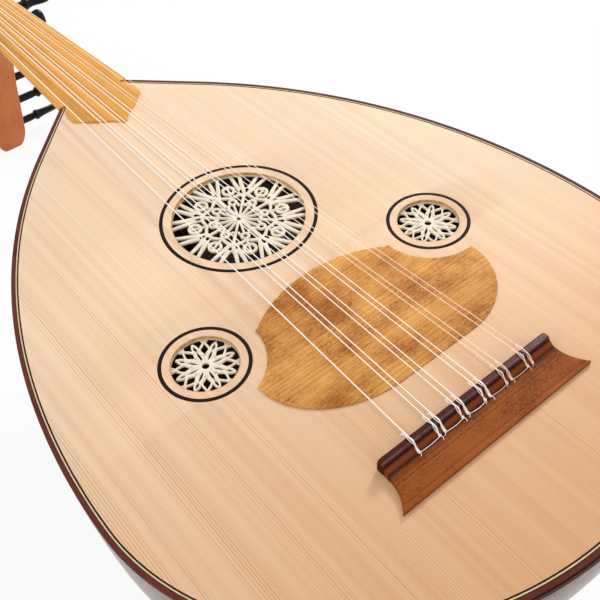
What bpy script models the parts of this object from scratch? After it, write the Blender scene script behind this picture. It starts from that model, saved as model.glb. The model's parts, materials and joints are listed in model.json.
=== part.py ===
"""Turkish oud: a short-necked lute with a staved bowl, three rosettes, a bent-back pegbox and 11 strings.

Metres. X runs across the soundboard with the treble side at +X, Y runs from the tail to the nut,
and Z points out of the soundboard. Lengths are first measured from the joint of neck and body,
with the soundboard's face at Z = 0, and the frame empty then moves the whole oud so that its
bounding box stands on the origin.
"""

import math

import bmesh
import bpy
from mathutils import Vector

# Whole instrument
SCALE_LENGTH = 0.585
NECK_LENGTH = 0.195
BODY_LENGTH = 0.490
CLEARANCE = 0.0003

# Body outline: a straight shoulder, a round flank and an elliptical tail
BODY_HALF_WIDTH = 0.1849
WIDEST_FROM_JOINT = 0.330
SHOULDER_STRAIGHT = 0.059
JOINT_HALF_WIDTH = 0.0295
SHOULDER_STEPS = 3
FLANK_STEPS = 10
TAIL_STEPS = 13

# Bowl
BOWL_DEPTH = 0.188
BOWL_SIDE_BULGE = 0.0002
NECK_SIDE_TUCK = 0.62
TUCK_FADE_LENGTH = 0.080
STAVE_COUNT = 13
STAVE_THICKNESS = 0.003
STAVE_END_HALF_WIDTH = 0.016
NECK_BLOCK_LENGTH = 0.050
NECK_BLOCK_STEPS = 4
TAIL_BLOCK_STEPS = 4
END_CLASP_LENGTH = 0.007
END_CLASP_THICKNESS = 0.0015
END_CLASP_STEPS = 6

# Soundboard, its edge and what lies under it
SOUNDBOARD_THICKNESS = 0.002
BINDING_WIDTH = 0.0023
PURFLING_WIDTH = 0.0018
BRACE_THICKNESS = 0.005
BRACE_HEIGHT = 0.014
BRACE_END_HEIGHT = 0.006
BRACE_SIDE_GAP = 0.0015
BRACE_ROSETTE_GAP = 0.004
UPPER_BRACE_FROM_JOINT = 0.092
BRIDGE_BRACE_GAP = 0.016

# Rosettes
LARGE_ROSETTE_FROM_JOINT = 0.1905
LARGE_ROSETTE_RADIUS = 0.044
SMALL_ROSETTE_FROM_JOINT = 0.2771
SMALL_ROSETTE_OFFSET = 0.0873
SMALL_ROSETTE_RADIUS = 0.0197
ROSETTE_RIM = 0.0045
ROSETTE_THICKNESS = 0.0015
LARGE_RING_RADIUS = 0.052
SMALL_RING_RADIUS = 0.0267
ROUND_STEPS = 48
HUB_STEPS = 10

# Gaps of the lattices, each repeated round the rosette: first turn and step in degrees, then shares
# of the hole's radius. A kite has its inner and outer point, its width and where it is widest;
# a wedge has its inner and outer side and the width of each.
LARGE_HUB_SHARE = 0.06
LARGE_KITES = (
    (0.0, 22.5, 0.11, 0.40, 0.085, 0.65),
    (22.5, 45.0, 0.46, 0.66, 0.13, 0.50),
    (0.0, 45.0, 0.47, 0.60, 0.07, 0.50),
    (22.5, 45.0, 0.71, 0.86, 0.10, 0.50),
    (11.5, 45.0, 0.49, 0.68, 0.075, 0.55),
    (-11.5, 45.0, 0.49, 0.68, 0.075, 0.55),
)
LARGE_WEDGES = (
    (0.0, 45.0, 0.72, 0.97, 0.02, 0.20),
    (13.5, 45.0, 0.74, 0.96, 0.02, 0.10),
    (-13.5, 45.0, 0.74, 0.96, 0.02, 0.10),
)
SMALL_HUB_SHARE = 0.11
SMALL_KITES = (
    (-9.0, 45.0, 0.26, 0.58, 0.09, 0.60),
    (-9.0, 45.0, 0.64, 0.84, 0.08, 0.35),
    (13.5, 45.0, 0.41, 0.79, 0.21, 0.50),
)
SMALL_WEDGES = (
    (2.25, 22.5, 0.71, 0.95, 0.02, 0.20),
)

# Pickguard
PICKGUARD_THICKNESS = 0.0006
PICKGUARD_RING_GAP = 0.0190
PICKGUARD_SHOULDER_X = 0.0505
PICKGUARD_SHOULDER_DROP = 0.0155
PICKGUARD_HOLLOW_GAP = 0.0085
PICKGUARD_LENGTH = 0.0975
PICKGUARD_TREBLE_X = 0.0895
PICKGUARD_TREBLE_ROUND = (0.048, 0.044)
PICKGUARD_BASS_X = 0.0754
PICKGUARD_BASS_ROUND = (0.062, 0.046)
PICKGUARD_STEPS = 7

# Bridge
BRIDGE_HALF_LENGTH = 0.0617
BRIDGE_BAR_WIDTH = 0.0085
BRIDGE_BASE_HEIGHT = 0.0068
BRIDGE_CAP_WIDTH = 0.0052
BRIDGE_CAP_HEIGHT = 0.0020
BRIDGE_CAP_ROUND = 0.0014
BRIDGE_SKIRT_WIDTH = 0.0190
BRIDGE_SKIRT_HEIGHT = 0.0040
BRIDGE_SKIRT_EDGE = 0.0024
BRIDGE_SKIRT_FLARE = 0.0082
BRIDGE_FLARE_POWER = 2.2
BRIDGE_SKIRT_STEPS = 6

# Neck, fingerboard and nut
NUT_HALF_WIDTH = 0.0210
NUT_THICKNESS = 0.005
NUT_HEIGHT = 0.0018
FINGERBOARD_HEIGHT = 0.0013
TONGUE_THICKNESS = 0.0010
TONGUE_LENGTH = 0.0505
TONGUE_CORNER = 0.0235
TONGUE_ROOT_HALF_WIDTH = 0.0235
NECK_STEPS = 4
SECTION_STEPS = 26

# Pegbox: it leaves the neck at a slant and bends further back towards its tip
PEGBOX_LENGTH = 0.1955
PEGBOX_START_TILT = math.radians(36)
PEGBOX_END_TILT = math.radians(15)
PEGBOX_TIP_HALF_WIDTH = 0.0168
PEGBOX_NARROWING_POWER = 1.8
PEGBOX_MOUTH_DEPTH = 0.0230
PEGBOX_DEEPEST = 0.0330
PEGBOX_DEEPEST_AT = 0.055
PEGBOX_TIP_DEPTH = 0.0235
PEGBOX_BACK_THICKNESS = 0.0035
CHEEK_THICKNESS = 0.0050
CHEEK_MOUTH_THICKNESS = 0.0016
CHEEK_TAPER_LENGTH = 0.060
TIP_BLOCK_LENGTH = 0.0115
TIP_ROUND_LENGTH = 0.0240
TIP_ROUND_WIDTH = 0.0045
TIP_STEPS = 10
TIP_TURN_SHARE = 0.98
PEGBOX_STEPS = 20

# Pegs
FIRST_PEG_FROM_NUT = 0.0220
LAST_PEG_FROM_TIP = 0.0175
PEG_DEPTH_SHARE = 0.58
PEG_SHAFT_RADIUS = 0.0040
PEG_END_RADIUS = 0.0034
PEG_HOLE_GAP = 0.0003
PEG_NECK_LENGTHS = (0.022, 0.020, 0.023, 0.024, 0.021, 0.022, 0.024, 0.021, 0.0265, 0.023, 0.021)
PEG_TAPER_REACH = 0.0400
PEG_COLLAR_RADIUS = 0.0056
PEG_COLLAR_LENGTH = 0.0028
PEG_GROOVE_RADIUS = 0.0035
PEG_GROOVE_PLACES = (0.0034, 0.0028, 0.0018, 0.0012)
PEG_HEAD_LENGTH = 0.0225
PEG_WAIST_RADIUS = 0.0031
PEG_WING_HALF_WIDTH = 0.0092
PEG_WING_HALF_THICKNESS = 0.0037
PEG_TURN_STEP = math.radians(57)
PEG_LAST_TURN = math.radians(-32.4)
PEG_SIDES = 12

# Strings, from the single bass to the treble pair
COURSE_COUNT = 6
BRIDGE_COURSE_SPACING = 0.0166
BRIDGE_PAIR_SPACING = 0.0038
NUT_COURSE_SPACING = 0.0069
NUT_PAIR_SPACING = 0.0026
STRING_RADII = (0.00042, 0.00038, 0.00036, 0.00034, 0.00035, 0.00032)
STRING_SEAT_GAP = 0.0003
BASS_NUT_SHIFT = 0.00125
STRING_GATHER = 0.10
BASS_STRING_GATHER = 0.16
STRING_TAIL_SHARE = 0.75
STRING_SETTLING_LAPS = 500

PEG_COUNT = len(PEG_NECK_LENGTHS)
BOW_START = BODY_HALF_WIDTH - JOINT_HALF_WIDTH
BRIDGE_FROM_JOINT = SCALE_LENGTH - NECK_LENGTH
TAIL_LENGTH = BODY_LENGTH - WIDEST_FROM_JOINT
SHOULDER_ANGLE = 2 * math.atan(BOW_START / (WIDEST_FROM_JOINT + SHOULDER_STRAIGHT))
FLANK_RADIUS = (
    WIDEST_FROM_JOINT - SHOULDER_STRAIGHT * math.cos(SHOULDER_ANGLE)
) / math.sin(SHOULDER_ANGLE)
RIM_DROP = SOUNDBOARD_THICKNESS + CLEARANCE
NUT_FRONT = NECK_LENGTH + CLEARANCE
NUT_BACK = NUT_FRONT + NUT_THICKNESS
FINGERBOARD_BOTTOM = -RIM_DROP + CLEARANCE
NUT_TOP = FINGERBOARD_HEIGHT + NUT_HEIGHT
BRIDGE_FRONT = -BRIDGE_FROM_JOINT
BRIDGE_BACK = BRIDGE_FRONT - BRIDGE_BAR_WIDTH
BRIDGE_CAP_BACK = BRIDGE_FRONT - BRIDGE_CAP_WIDTH
BRIDGE_TOP = 2 * CLEARANCE + BRIDGE_BASE_HEIGHT + BRIDGE_CAP_HEIGHT


# Materials

SPRUCE = ("spruce", (0.86, 0.66, 0.44), 0.55)
MAHOGANY = ("mahogany", (0.50, 0.17, 0.06), 0.38)
ROSEWOOD = ("rosewood", (0.13, 0.05, 0.04), 0.35)
WALNUT = ("walnut", (0.26, 0.12, 0.06), 0.35)
AFRORMOSIA = ("golden_wood", (0.70, 0.34, 0.11), 0.40)
EBONY = ("ebony", (0.012, 0.010, 0.010), 0.28)
CREAM = ("rosette_cream", (0.85, 0.76, 0.60), 0.60)
BONE = ("bone", (0.86, 0.80, 0.66), 0.35)
WHITE_STRING = ("white_string", (0.86, 0.84, 0.80), 0.30)
CLEAR_STRING = ("clear_string", (0.80, 0.74, 0.70), 0.25)


def material(finish):
    """Give the material of this name, made the first time it is asked for."""
    name, color, roughness = finish
    found = bpy.data.materials.get(name)
    if found:
        return found
    made = bpy.data.materials.new(name)
    made.use_nodes = True
    made.diffuse_color = (*color, 1)
    shader = made.node_tree.nodes["Principled BSDF"]
    shader.inputs["Base Color"].default_value = (*color, 1)
    shader.inputs["Roughness"].default_value = roughness
    shader.inputs["Metallic"].default_value = 0
    return made


# Mesh helpers


def add_object(name, points, faces, finish, frame, sharp=30):
    """Make a closed mesh object that hangs on the frame empty."""
    mesh = bpy.data.meshes.new(name)
    mesh.from_pydata([tuple(point) for point in points], [], faces)
    made = bmesh.new()
    made.from_mesh(mesh)
    bmesh.ops.remove_doubles(made, verts=made.verts, dist=1e-6)
    bmesh.ops.recalc_face_normals(made, faces=made.faces)
    made.to_mesh(mesh)
    made.free()
    mesh.materials.append(material(finish))
    mesh.shade_smooth()
    mesh.set_sharp_from_angle(angle=math.radians(sharp))
    placed = bpy.data.objects.new(name, mesh)
    bpy.context.scene.collection.objects.link(placed)
    placed.parent = frame
    return placed


def bridged(rings, capped=True):
    """Give the points and faces of a skin through rings that have equally many points."""
    count = len(rings[0])
    points = [point for ring in rings for point in ring]
    faces = []
    for row in range(len(rings) - 1):
        for column in range(count):
            after = (column + 1) % count
            low = row * count
            faces.append((low + column, low + after, low + count + after, low + count + column))
    if capped:
        faces.append(tuple(range(count)))
        faces.append(tuple(range(len(points) - count, len(points))))
    return points, faces


def prism(name, outline, low, high, finish, frame):
    """Stand a flat outline up between two heights."""
    rings = [[(x, y, height) for x, y in outline] for height in (low, high)]
    return add_object(name, *bridged(rings), finish, frame)


def edge_strip(name, outer, inner, low, high, finish, frame):
    """Make an open strip that follows the body's edge between two outlines."""
    rings = []
    for (outer_x, outer_y), (inner_x, inner_y) in zip(outer, inner):
        outer_side = [(outer_x, outer_y, low), (outer_x, outer_y, high)]
        rings.append(outer_side + [(inner_x, inner_y, high), (inner_x, inner_y, low)])
    return add_object(name, *bridged(rings), finish, frame)


def circle(center, radius, steps):
    """Give the points of a circle in the soundboard's plane."""
    turns = [math.tau * step / steps for step in range(steps)]
    return [(center[0] + radius * math.cos(turn), center[1] + radius * math.sin(turn)) for turn in turns]


def cutter(name, prisms, frame):
    """Join flat outlines, each with its own two heights, into one hidden cutter."""
    points, faces = [], []
    for outline, low, high in prisms:
        ring_points, ring_faces = bridged([[(x, y, height) for x, y in outline] for height in (low, high)])
        faces += [tuple(len(points) + index for index in face) for face in ring_faces]
        points += ring_points
    return hidden(add_object(name, points, faces, WALNUT, frame))


def hidden(helper):
    helper.hide_render = True
    helper.display_type = "WIRE"
    return helper


def cut(target, tool):
    """Take a cutter's shape out of a piece."""
    modifier = target.modifiers.new("cut_" + tool.name, "BOOLEAN")
    modifier.operation = "DIFFERENCE"
    modifier.solver = "EXACT"
    modifier.object = tool


# Body outline


def tail_station(angle):
    """Give a point of the tail and its outward normal; the angle runs from the widest place to the end."""
    center = Vector((0.0, -WIDEST_FROM_JOINT))
    point = center + Vector((BODY_HALF_WIDTH * math.cos(angle), -TAIL_LENGTH * math.sin(angle)))
    outward = Vector((math.cos(angle) / BODY_HALF_WIDTH, -math.sin(angle) / TAIL_LENGTH))
    return point, outward.normalized()


def half_edge():
    """Give the right half of the edge, joint to tail, as points with their outward normals."""
    center_x = BODY_HALF_WIDTH - FLANK_RADIUS
    edge = []
    slant = Vector((math.cos(SHOULDER_ANGLE), math.sin(SHOULDER_ANGLE)))
    for step in range(SHOULDER_STEPS):
        along = SHOULDER_STRAIGHT * step / SHOULDER_STEPS
        edge.append((Vector((JOINT_HALF_WIDTH + along * slant.y, -along * slant.x)), slant))
    for step in range(FLANK_STEPS):
        angle = SHOULDER_ANGLE * (1 - step / FLANK_STEPS)
        outward = Vector((math.cos(angle), math.sin(angle)))
        edge.append((Vector((center_x, -WIDEST_FROM_JOINT)) + FLANK_RADIUS * outward, outward))
    for step in range(TAIL_STEPS + 1):
        edge.append(tail_station(math.pi / 2 * step / TAIL_STEPS))
    return edge


def half_outline(inset, end=0.0):
    """Give the edge moved inwards, cut off square at the joint."""
    points = [point - inset * outward for point, outward in half_edge()]
    width_there = JOINT_HALF_WIDTH - inset / math.cos(SHOULDER_ANGLE)
    points[0] = Vector((width_there - end * math.tan(SHOULDER_ANGLE), end))
    points[-1].x = 0.0
    return [tuple(point) for point in points]


def whole_outline(inset, end=0.0):
    """Give the outline from the joint's treble corner round the tail to its bass corner."""
    right = half_outline(inset, end)
    return right + [(-x, y) for x, y in reversed(right[:-1])]


def half_width_at(from_joint):
    """Give the body's half width at a distance from the joint."""
    straight_end = SHOULDER_STRAIGHT * math.cos(SHOULDER_ANGLE)
    if from_joint <= straight_end:
        return JOINT_HALF_WIDTH + from_joint * math.tan(SHOULDER_ANGLE)
    if from_joint <= WIDEST_FROM_JOINT:
        rise = WIDEST_FROM_JOINT - from_joint
        return BODY_HALF_WIDTH - FLANK_RADIUS + math.sqrt(FLANK_RADIUS**2 - rise**2)
    return BODY_HALF_WIDTH * math.sqrt(max(0.0, 1 - ((from_joint - WIDEST_FROM_JOINT) / TAIL_LENGTH) ** 2))


# Bowl, neck and blocks share one cross-section, which shrinks and grows with the outline

SIDE_SCALE = 1 + BOWL_SIDE_BULGE / BODY_HALF_WIDTH
SIDE_ANGLE = math.acos(1 / SIDE_SCALE)
DEPTH_SHARE = BOWL_DEPTH / BODY_HALF_WIDTH / (1 + math.sin(SIDE_ANGLE))


def side_tuck(from_joint):
    """Say how far the sides slant in under the rim; on the neck most, fading out down the bowl."""
    return NECK_SIDE_TUCK * min(1.0, max(0.0, 1 - from_joint / TUCK_FADE_LENGTH))


def section(angle, tuck=0.0):
    """Give the section's point and outward normal for a half width of one."""
    sine, cosine = math.sin(angle), math.cos(angle)
    drop = sine + math.sin(SIDE_ANGLE)
    full_drop = 1 + math.sin(SIDE_ANGLE)
    share = drop / full_drop
    narrowing = 1 - tuck * share * (1 - share)
    point = Vector((SIDE_SCALE * cosine * narrowing, -DEPTH_SHARE * drop))
    across = -SIDE_SCALE * (sine * narrowing + tuck * cosine**2 * (1 - 2 * share) / full_drop)
    outward = Vector((DEPTH_SHARE * cosine, across)).normalized()
    return point, outward


def section_angles(steps):
    sweep = math.pi + 2 * SIDE_ANGLE
    return [-SIDE_ANGLE + sweep * step / steps for step in range(steps + 1)]


def bowl_point(station, angle, offset=0.0):
    """Give a point of the bowl's outer skin, moved outwards by an offset."""
    edge, outward = station
    shape, normal = section(angle, side_tuck(-edge.y))
    skin = Vector((edge.x * shape.x, edge.y, -RIM_DROP + edge.x * shape.y))
    lean = Vector((normal.x * outward.x, outward.y * shape.dot(normal), normal.y * outward.x))
    return skin + offset * lean.normalized()


def stave(number, stations, frame):
    """Bend one stave between two lines of the bowl, with a hair of room on both sides."""
    sweep = (math.pi + 2 * SIDE_ANGLE) / STAVE_COUNT
    start = -SIDE_ANGLE + sweep * number
    rings = []
    for index, station in enumerate(stations):
        room = CLEARANCE / 2 / (station[0].x * SIDE_SCALE)
        angles = (start + room, start + sweep / 2, start + sweep - room)
        outer = [bowl_point(station, angle) for angle in angles]
        inner = [bowl_point(station, angle, -STAVE_THICKNESS) for angle in reversed(angles)]
        ring = outer + inner
        for point in ring:
            point.z = min(point.z, -RIM_DROP)
            if index == 0:
                point.y = -CLEARANCE / 2
        rings.append(ring)
    return add_object(f"stave_{number + 1:02d}", *bridged(rings), MAHOGANY if number % 2 else WALNUT, frame)


def bowl_stations():
    """Give the stations of every stave, from the joint to the tail."""
    last = math.acos(STAVE_END_HALF_WIDTH / BODY_HALF_WIDTH)
    steps = TAIL_STEPS - 1
    edge = half_edge()[: SHOULDER_STEPS + FLANK_STEPS]
    return edge + [tail_station(last * step / steps) for step in range(steps + 1)]


def make_bowl(frame):
    stations = bowl_stations()
    for number in range(STAVE_COUNT):
        stave(number, stations, frame)


def filled_bowl(name, stations, offset, finish, frame, flat_ends=(None, None)):
    """Fill the bowl's inside between stations as one block; a flat end is set square to Y."""
    angles = section_angles(SECTION_STEPS)
    rings = []
    for index, station in enumerate(stations):
        ring = [bowl_point(station, angle, offset) for angle in angles]
        for point in ring:
            point.z = min(point.z, -RIM_DROP)
        flat = flat_ends[0] if index == 0 else flat_ends[1] if index == len(stations) - 1 else None
        if flat is not None:
            for point in ring:
                point.y = flat
        rings.append(ring)
    return add_object(name, *bridged(rings), finish, frame)


def make_blocks(frame):
    """Fill both ends inside the staves; each block's flat ends stand where the bowl is wide enough."""
    inside = -(STAVE_THICKNESS + 2 * CLEARANCE)
    slant = Vector((math.cos(SHOULDER_ANGLE), math.sin(SHOULDER_ANGLE)))
    shift = -inside * slant.y
    stations = []
    for step in range(NECK_BLOCK_STEPS + 1):
        from_joint = NECK_BLOCK_LENGTH * step / NECK_BLOCK_STEPS - shift
        stations.append((Vector((half_width_at(from_joint), -from_joint)), slant))
    filled_bowl("neck_block", stations, inside, SPRUCE, frame, (-CLEARANCE / 2, -NECK_BLOCK_LENGTH))
    stations = bowl_stations()[-TAIL_BLOCK_STEPS - 1 :]
    filled_bowl("tail_block", stations, inside, SPRUCE, frame, (stations[0][0].y - inside, None))


def make_end_clasp(frame):
    """Cap the staves' ends at the tail with a thin shell, laid as an outer and an inner skin."""
    start = math.asin(1 - END_CLASP_LENGTH / TAIL_LENGTH)
    end = math.acos(STAVE_END_HALF_WIDTH / BODY_HALF_WIDTH / 8)
    turns = [start + (end - start) * step / END_CLASP_STEPS for step in range(END_CLASP_STEPS + 1)]
    stations = [tail_station(turn) for turn in turns]
    angles = section_angles(SECTION_STEPS)
    rings = []
    for offset, row in ((CLEARANCE + END_CLASP_THICKNESS, stations), (CLEARANCE, stations[::-1])):
        rings += [[bowl_point(station, angle, offset) for angle in angles] for station in row]
    points = [point for ring in rings for point in ring]
    for point in points:
        point.z = min(point.z, -RIM_DROP)
    count = len(angles)
    inner_start = (END_CLASP_STEPS + 1) * count
    faces = []
    for row in range(len(rings)):
        if row == END_CLASP_STEPS:
            continue
        low = row * count
        high = (row + 1) % len(rings) * count
        for column in range(count - 1):
            faces.append((low + column, low + column + 1, high + column + 1, high + column))
    outer_end = tuple(range(END_CLASP_STEPS * count, inner_start))
    inner_end = tuple(range(inner_start, inner_start + count))
    faces += [outer_end, inner_end, (outer_end[0], inner_end[0], inner_end[-1], outer_end[-1])]
    for side in (0, count - 1):
        for row in range(END_CLASP_STEPS):
            inner_row = len(rings) - 1 - row
            outer = (row * count + side, (row + 1) * count + side)
            inner = (inner_row * count + side, (inner_row - 1) * count + side)
            faces.append((outer[0], outer[1], inner[1], inner[0]))
    add_object("end_clasp", points, faces, WALNUT, frame)


# Soundboard and what is let into it


def rosette_places():
    """Name each rosette with its centre and the radius of its hole."""
    small_y = -SMALL_ROSETTE_FROM_JOINT
    return {
        "large": ((0.0, -LARGE_ROSETTE_FROM_JOINT), LARGE_ROSETTE_RADIUS),
        "bass": ((-SMALL_ROSETTE_OFFSET, small_y), SMALL_ROSETTE_RADIUS),
        "treble": ((SMALL_ROSETTE_OFFSET, small_y), SMALL_ROSETTE_RADIUS),
    }


def make_soundboard(frame):
    inset = BINDING_WIDTH + PURFLING_WIDTH + 2 * CLEARANCE
    top = -CLEARANCE / 2
    board = prism("soundboard", whole_outline(inset, top), -SOUNDBOARD_THICKNESS, 0.0, SPRUCE, frame)
    holes = []
    for center, radius in rosette_places().values():
        holes.append((circle(center, radius, ROUND_STEPS), -2 * SOUNDBOARD_THICKNESS, SOUNDBOARD_THICKNESS))
    cut(board, cutter("soundhole_cutter", holes, frame))


def make_edging(frame):
    inner_binding = BINDING_WIDTH
    outer_purfling = BINDING_WIDTH + CLEARANCE
    inner_purfling = outer_purfling + PURFLING_WIDTH
    end = -CLEARANCE / 2
    low = -SOUNDBOARD_THICKNESS
    binding = (whole_outline(0.0, end), whole_outline(inner_binding, end))
    edge_strip("edge_binding", *binding, low, 0.0, WALNUT, frame)
    purfling = (whole_outline(outer_purfling, end), whole_outline(inner_purfling, end))
    edge_strip("purfling", *purfling, low, 0.0, EBONY, frame)


def gap_outline(corners, turn):
    """Turn a gap's corners, given as distances along and across its axis, round the rosette's centre."""
    cosine, sine = math.cos(turn), math.sin(turn)
    return [(along * cosine - side * sine, along * sine + side * cosine) for along, side in corners]


def kite_corners(inner, outer, width, share):
    middle = inner + (outer - inner) * share
    return (inner, 0.0), (middle, -width / 2), (outer, 0.0), (middle, width / 2)


def wedge_corners(inner, outer, inner_width, outer_width):
    low_side = ((inner, -inner_width / 2), (outer, -outer_width / 2))
    return *low_side, (outer, outer_width / 2), (inner, inner_width / 2)


def lattice_gaps(radius, hub_share, kites, wedges):
    """Give every gap of a lattice round the origin."""
    gaps = [circle((0, 0), hub_share * radius, HUB_STEPS)]
    for corners_of, rows in ((kite_corners, kites), (wedge_corners, wedges)):
        for first, turn_step, inner, outer, *rest in rows:
            corners = corners_of(inner, outer, *rest)
            sized = [(along * radius, side * radius) for along, side in corners]
            for number in range(round(360 / turn_step)):
                gaps.append(gap_outline(sized, math.radians(first + turn_step * number)))
    return gaps


def make_rosettes(frame):
    """Glue each lattice under its soundhole; the plain rim round the lattice meets the soundboard."""
    top = -SOUNDBOARD_THICKNESS - CLEARANCE
    bottom = top - ROSETTE_THICKNESS
    large_gaps = lattice_gaps(LARGE_ROSETTE_RADIUS, LARGE_HUB_SHARE, LARGE_KITES, LARGE_WEDGES)
    small_gaps = lattice_gaps(SMALL_ROSETTE_RADIUS, SMALL_HUB_SHARE, SMALL_KITES, SMALL_WEDGES)
    for name, (center, radius) in rosette_places().items():
        disc = circle(center, radius + ROSETTE_RIM, ROUND_STEPS)
        rosette = prism(f"{name}_rosette", disc, bottom, top, CREAM, frame)
        gaps = []
        for gap in large_gaps if name == "large" else small_gaps:
            moved = [(center[0] + x, center[1] + y) for x, y in gap]
            gaps.append((moved, bottom - ROSETTE_THICKNESS, top + ROSETTE_THICKNESS))
        cut(rosette, cutter(f"{name}_rosette_gap_cutter", gaps, frame))


def brace_stations():
    """Give each brace's distance from the joint, kept clear of the rosettes and the bridge."""
    reach = LARGE_ROSETTE_RADIUS + ROSETTE_RIM + BRACE_ROSETTE_GAP + BRACE_THICKNESS / 2
    above_large = LARGE_ROSETTE_FROM_JOINT - reach
    small_reach = SMALL_ROSETTE_RADIUS + ROSETTE_RIM + BRACE_ROSETTE_GAP + BRACE_THICKNESS / 2
    below_large = (LARGE_ROSETTE_FROM_JOINT + LARGE_ROSETTE_RADIUS + SMALL_ROSETTE_FROM_JOINT) / 2
    below_large -= SMALL_ROSETTE_RADIUS / 2
    below_small = SMALL_ROSETTE_FROM_JOINT + small_reach
    above_bridge = BRIDGE_FROM_JOINT - BRIDGE_BRACE_GAP
    below_bridge = BRIDGE_FROM_JOINT + BRIDGE_BAR_WIDTH + BRIDGE_SKIRT_WIDTH + BRIDGE_BRACE_GAP / 2
    tail_block_front = -bowl_stations()[-TAIL_BLOCK_STEPS - 1][0].y - STAVE_THICKNESS
    below_bridge = min(below_bridge, tail_block_front - BRACE_THICKNESS)
    return [UPPER_BRACE_FROM_JOINT, above_large, below_large, below_small, above_bridge, below_bridge]


def make_braces(frame):
    top = -SOUNDBOARD_THICKNESS - CLEARANCE
    for number, from_joint in enumerate(brace_stations()):
        ends = (from_joint - BRACE_THICKNESS / 2, from_joint + BRACE_THICKNESS / 2)
        narrow_side = min(half_width_at(end) for end in ends)
        reach = narrow_side - 2 * STAVE_THICKNESS - BRACE_SIDE_GAP
        taper = reach - 4 * BRACE_THICKNESS
        profile = [
            (-reach, top),
            (reach, top),
            (reach, top - BRACE_END_HEIGHT),
            (taper, top - BRACE_HEIGHT),
            (-taper, top - BRACE_HEIGHT),
            (-reach, top - BRACE_END_HEIGHT),
        ]
        rings = []
        for side in (-0.5, 0.5):
            station = -from_joint + side * BRACE_THICKNESS
            rings.append([(x, station, z) for x, z in profile])
        add_object(f"brace_{number + 1}", *bridged(rings), SPRUCE, frame)


# Pickguard and bridge


def arc_points(center, radius, start, end, steps):
    """Give points along an arc, angles in radians, ends included."""
    return [
        (
            center[0] + radius * math.cos(start + (end - start) * step / steps),
            center[1] + radius * math.sin(start + (end - start) * step / steps),
        )
        for step in range(steps + 1)
    ]


def pickguard_side(side_x, round_size):
    """Give one half of the guard as if it lay at +X: crown, hollow round the small rosette, round lobe."""
    top = -LARGE_ROSETTE_FROM_JOINT - LARGE_RING_RADIUS - PICKGUARD_RING_GAP
    shoulder = (PICKGUARD_SHOULDER_X, top - PICKGUARD_SHOULDER_DROP)
    crown = (PICKGUARD_SHOULDER_X**2 + PICKGUARD_SHOULDER_DROP**2) / (2 * PICKGUARD_SHOULDER_DROP)
    crown_end = math.pi / 2 - math.asin(PICKGUARD_SHOULDER_X / crown)
    points = arc_points((0, top - crown), crown, math.pi / 2, crown_end, PICKGUARD_STEPS)
    hollow = SMALL_RING_RADIUS + PICKGUARD_HOLLOW_GAP
    small = (SMALL_ROSETTE_OFFSET, -SMALL_ROSETTE_FROM_JOINT)
    horn_drop = math.sqrt(hollow**2 - (side_x - small[0]) ** 2)
    first = math.atan2(shoulder[1] - small[1], shoulder[0] - small[0]) % math.tau
    last = math.atan2(-horn_drop, side_x - small[0]) % math.tau
    points += arc_points(small, hollow, first, last, PICKGUARD_STEPS)
    across, along = round_size
    center = (side_x - across, top - PICKGUARD_LENGTH + along)
    for x, y in arc_points((0, 0), 1.0, 0.0, -math.pi / 2, PICKGUARD_STEPS):
        points.append((center[0] + across * x, center[1] + along * y))
    return points


def make_pickguard(frame):
    """Lay the thin guard between bridge and large rosette; it reaches further out on the treble side."""
    treble = pickguard_side(PICKGUARD_TREBLE_X, PICKGUARD_TREBLE_ROUND)
    bass = pickguard_side(PICKGUARD_BASS_X, PICKGUARD_BASS_ROUND)
    outline = treble + [(-x, y) for x, y in reversed(bass[1:])]
    prism("pickguard", outline, CLEARANCE, CLEARANCE + PICKGUARD_THICKNESS, AFRORMOSIA, frame)


def make_bridge(frame):
    """Glue the base to the soundboard: a bar with a sloping back and a flared skirt; a cap tops the bar."""
    low = CLEARANCE
    top = low + BRIDGE_BASE_HEIGHT
    rows = [(BRIDGE_FRONT, BRIDGE_HALF_LENGTH, top), (BRIDGE_CAP_BACK, BRIDGE_HALF_LENGTH, top)]
    for step in range(BRIDGE_SKIRT_STEPS + 1):
        share = step / BRIDGE_SKIRT_STEPS
        reach = BRIDGE_HALF_LENGTH + BRIDGE_SKIRT_FLARE * share**BRIDGE_FLARE_POWER
        height = BRIDGE_SKIRT_HEIGHT + (BRIDGE_SKIRT_EDGE - BRIDGE_SKIRT_HEIGHT) * share
        rows.append((BRIDGE_BACK - BRIDGE_SKIRT_WIDTH * share, reach, low + height))
    rings = [[(-half, y, low), (-half, y, high), (half, y, high), (half, y, low)] for y, half, high in rows]
    add_object("bridge", *bridged(rings), MAHOGANY, frame)
    bottom = top + CLEARANCE
    front_round = (BRIDGE_FRONT - BRIDGE_CAP_ROUND, BRIDGE_TOP - BRIDGE_CAP_ROUND)
    back_round = (BRIDGE_CAP_BACK + BRIDGE_CAP_ROUND, BRIDGE_TOP - BRIDGE_CAP_ROUND)
    profile = [(BRIDGE_FRONT, bottom)]
    profile += arc_points(front_round, BRIDGE_CAP_ROUND, 0, math.pi / 2, 3)
    profile += arc_points(back_round, BRIDGE_CAP_ROUND, math.pi / 2, math.pi, 3)
    profile.append((BRIDGE_CAP_BACK, bottom))
    rings = [[(x, y, z) for y, z in profile] for x in (-BRIDGE_HALF_LENGTH, BRIDGE_HALF_LENGTH)]
    add_object("bridge_cap", *bridged(rings), ROSEWOOD, frame)


# Neck, fingerboard and nut


def neck_half_width(from_joint):
    return JOINT_HALF_WIDTH + (NUT_HALF_WIDTH - JOINT_HALF_WIDTH) * from_joint / NECK_LENGTH


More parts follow.
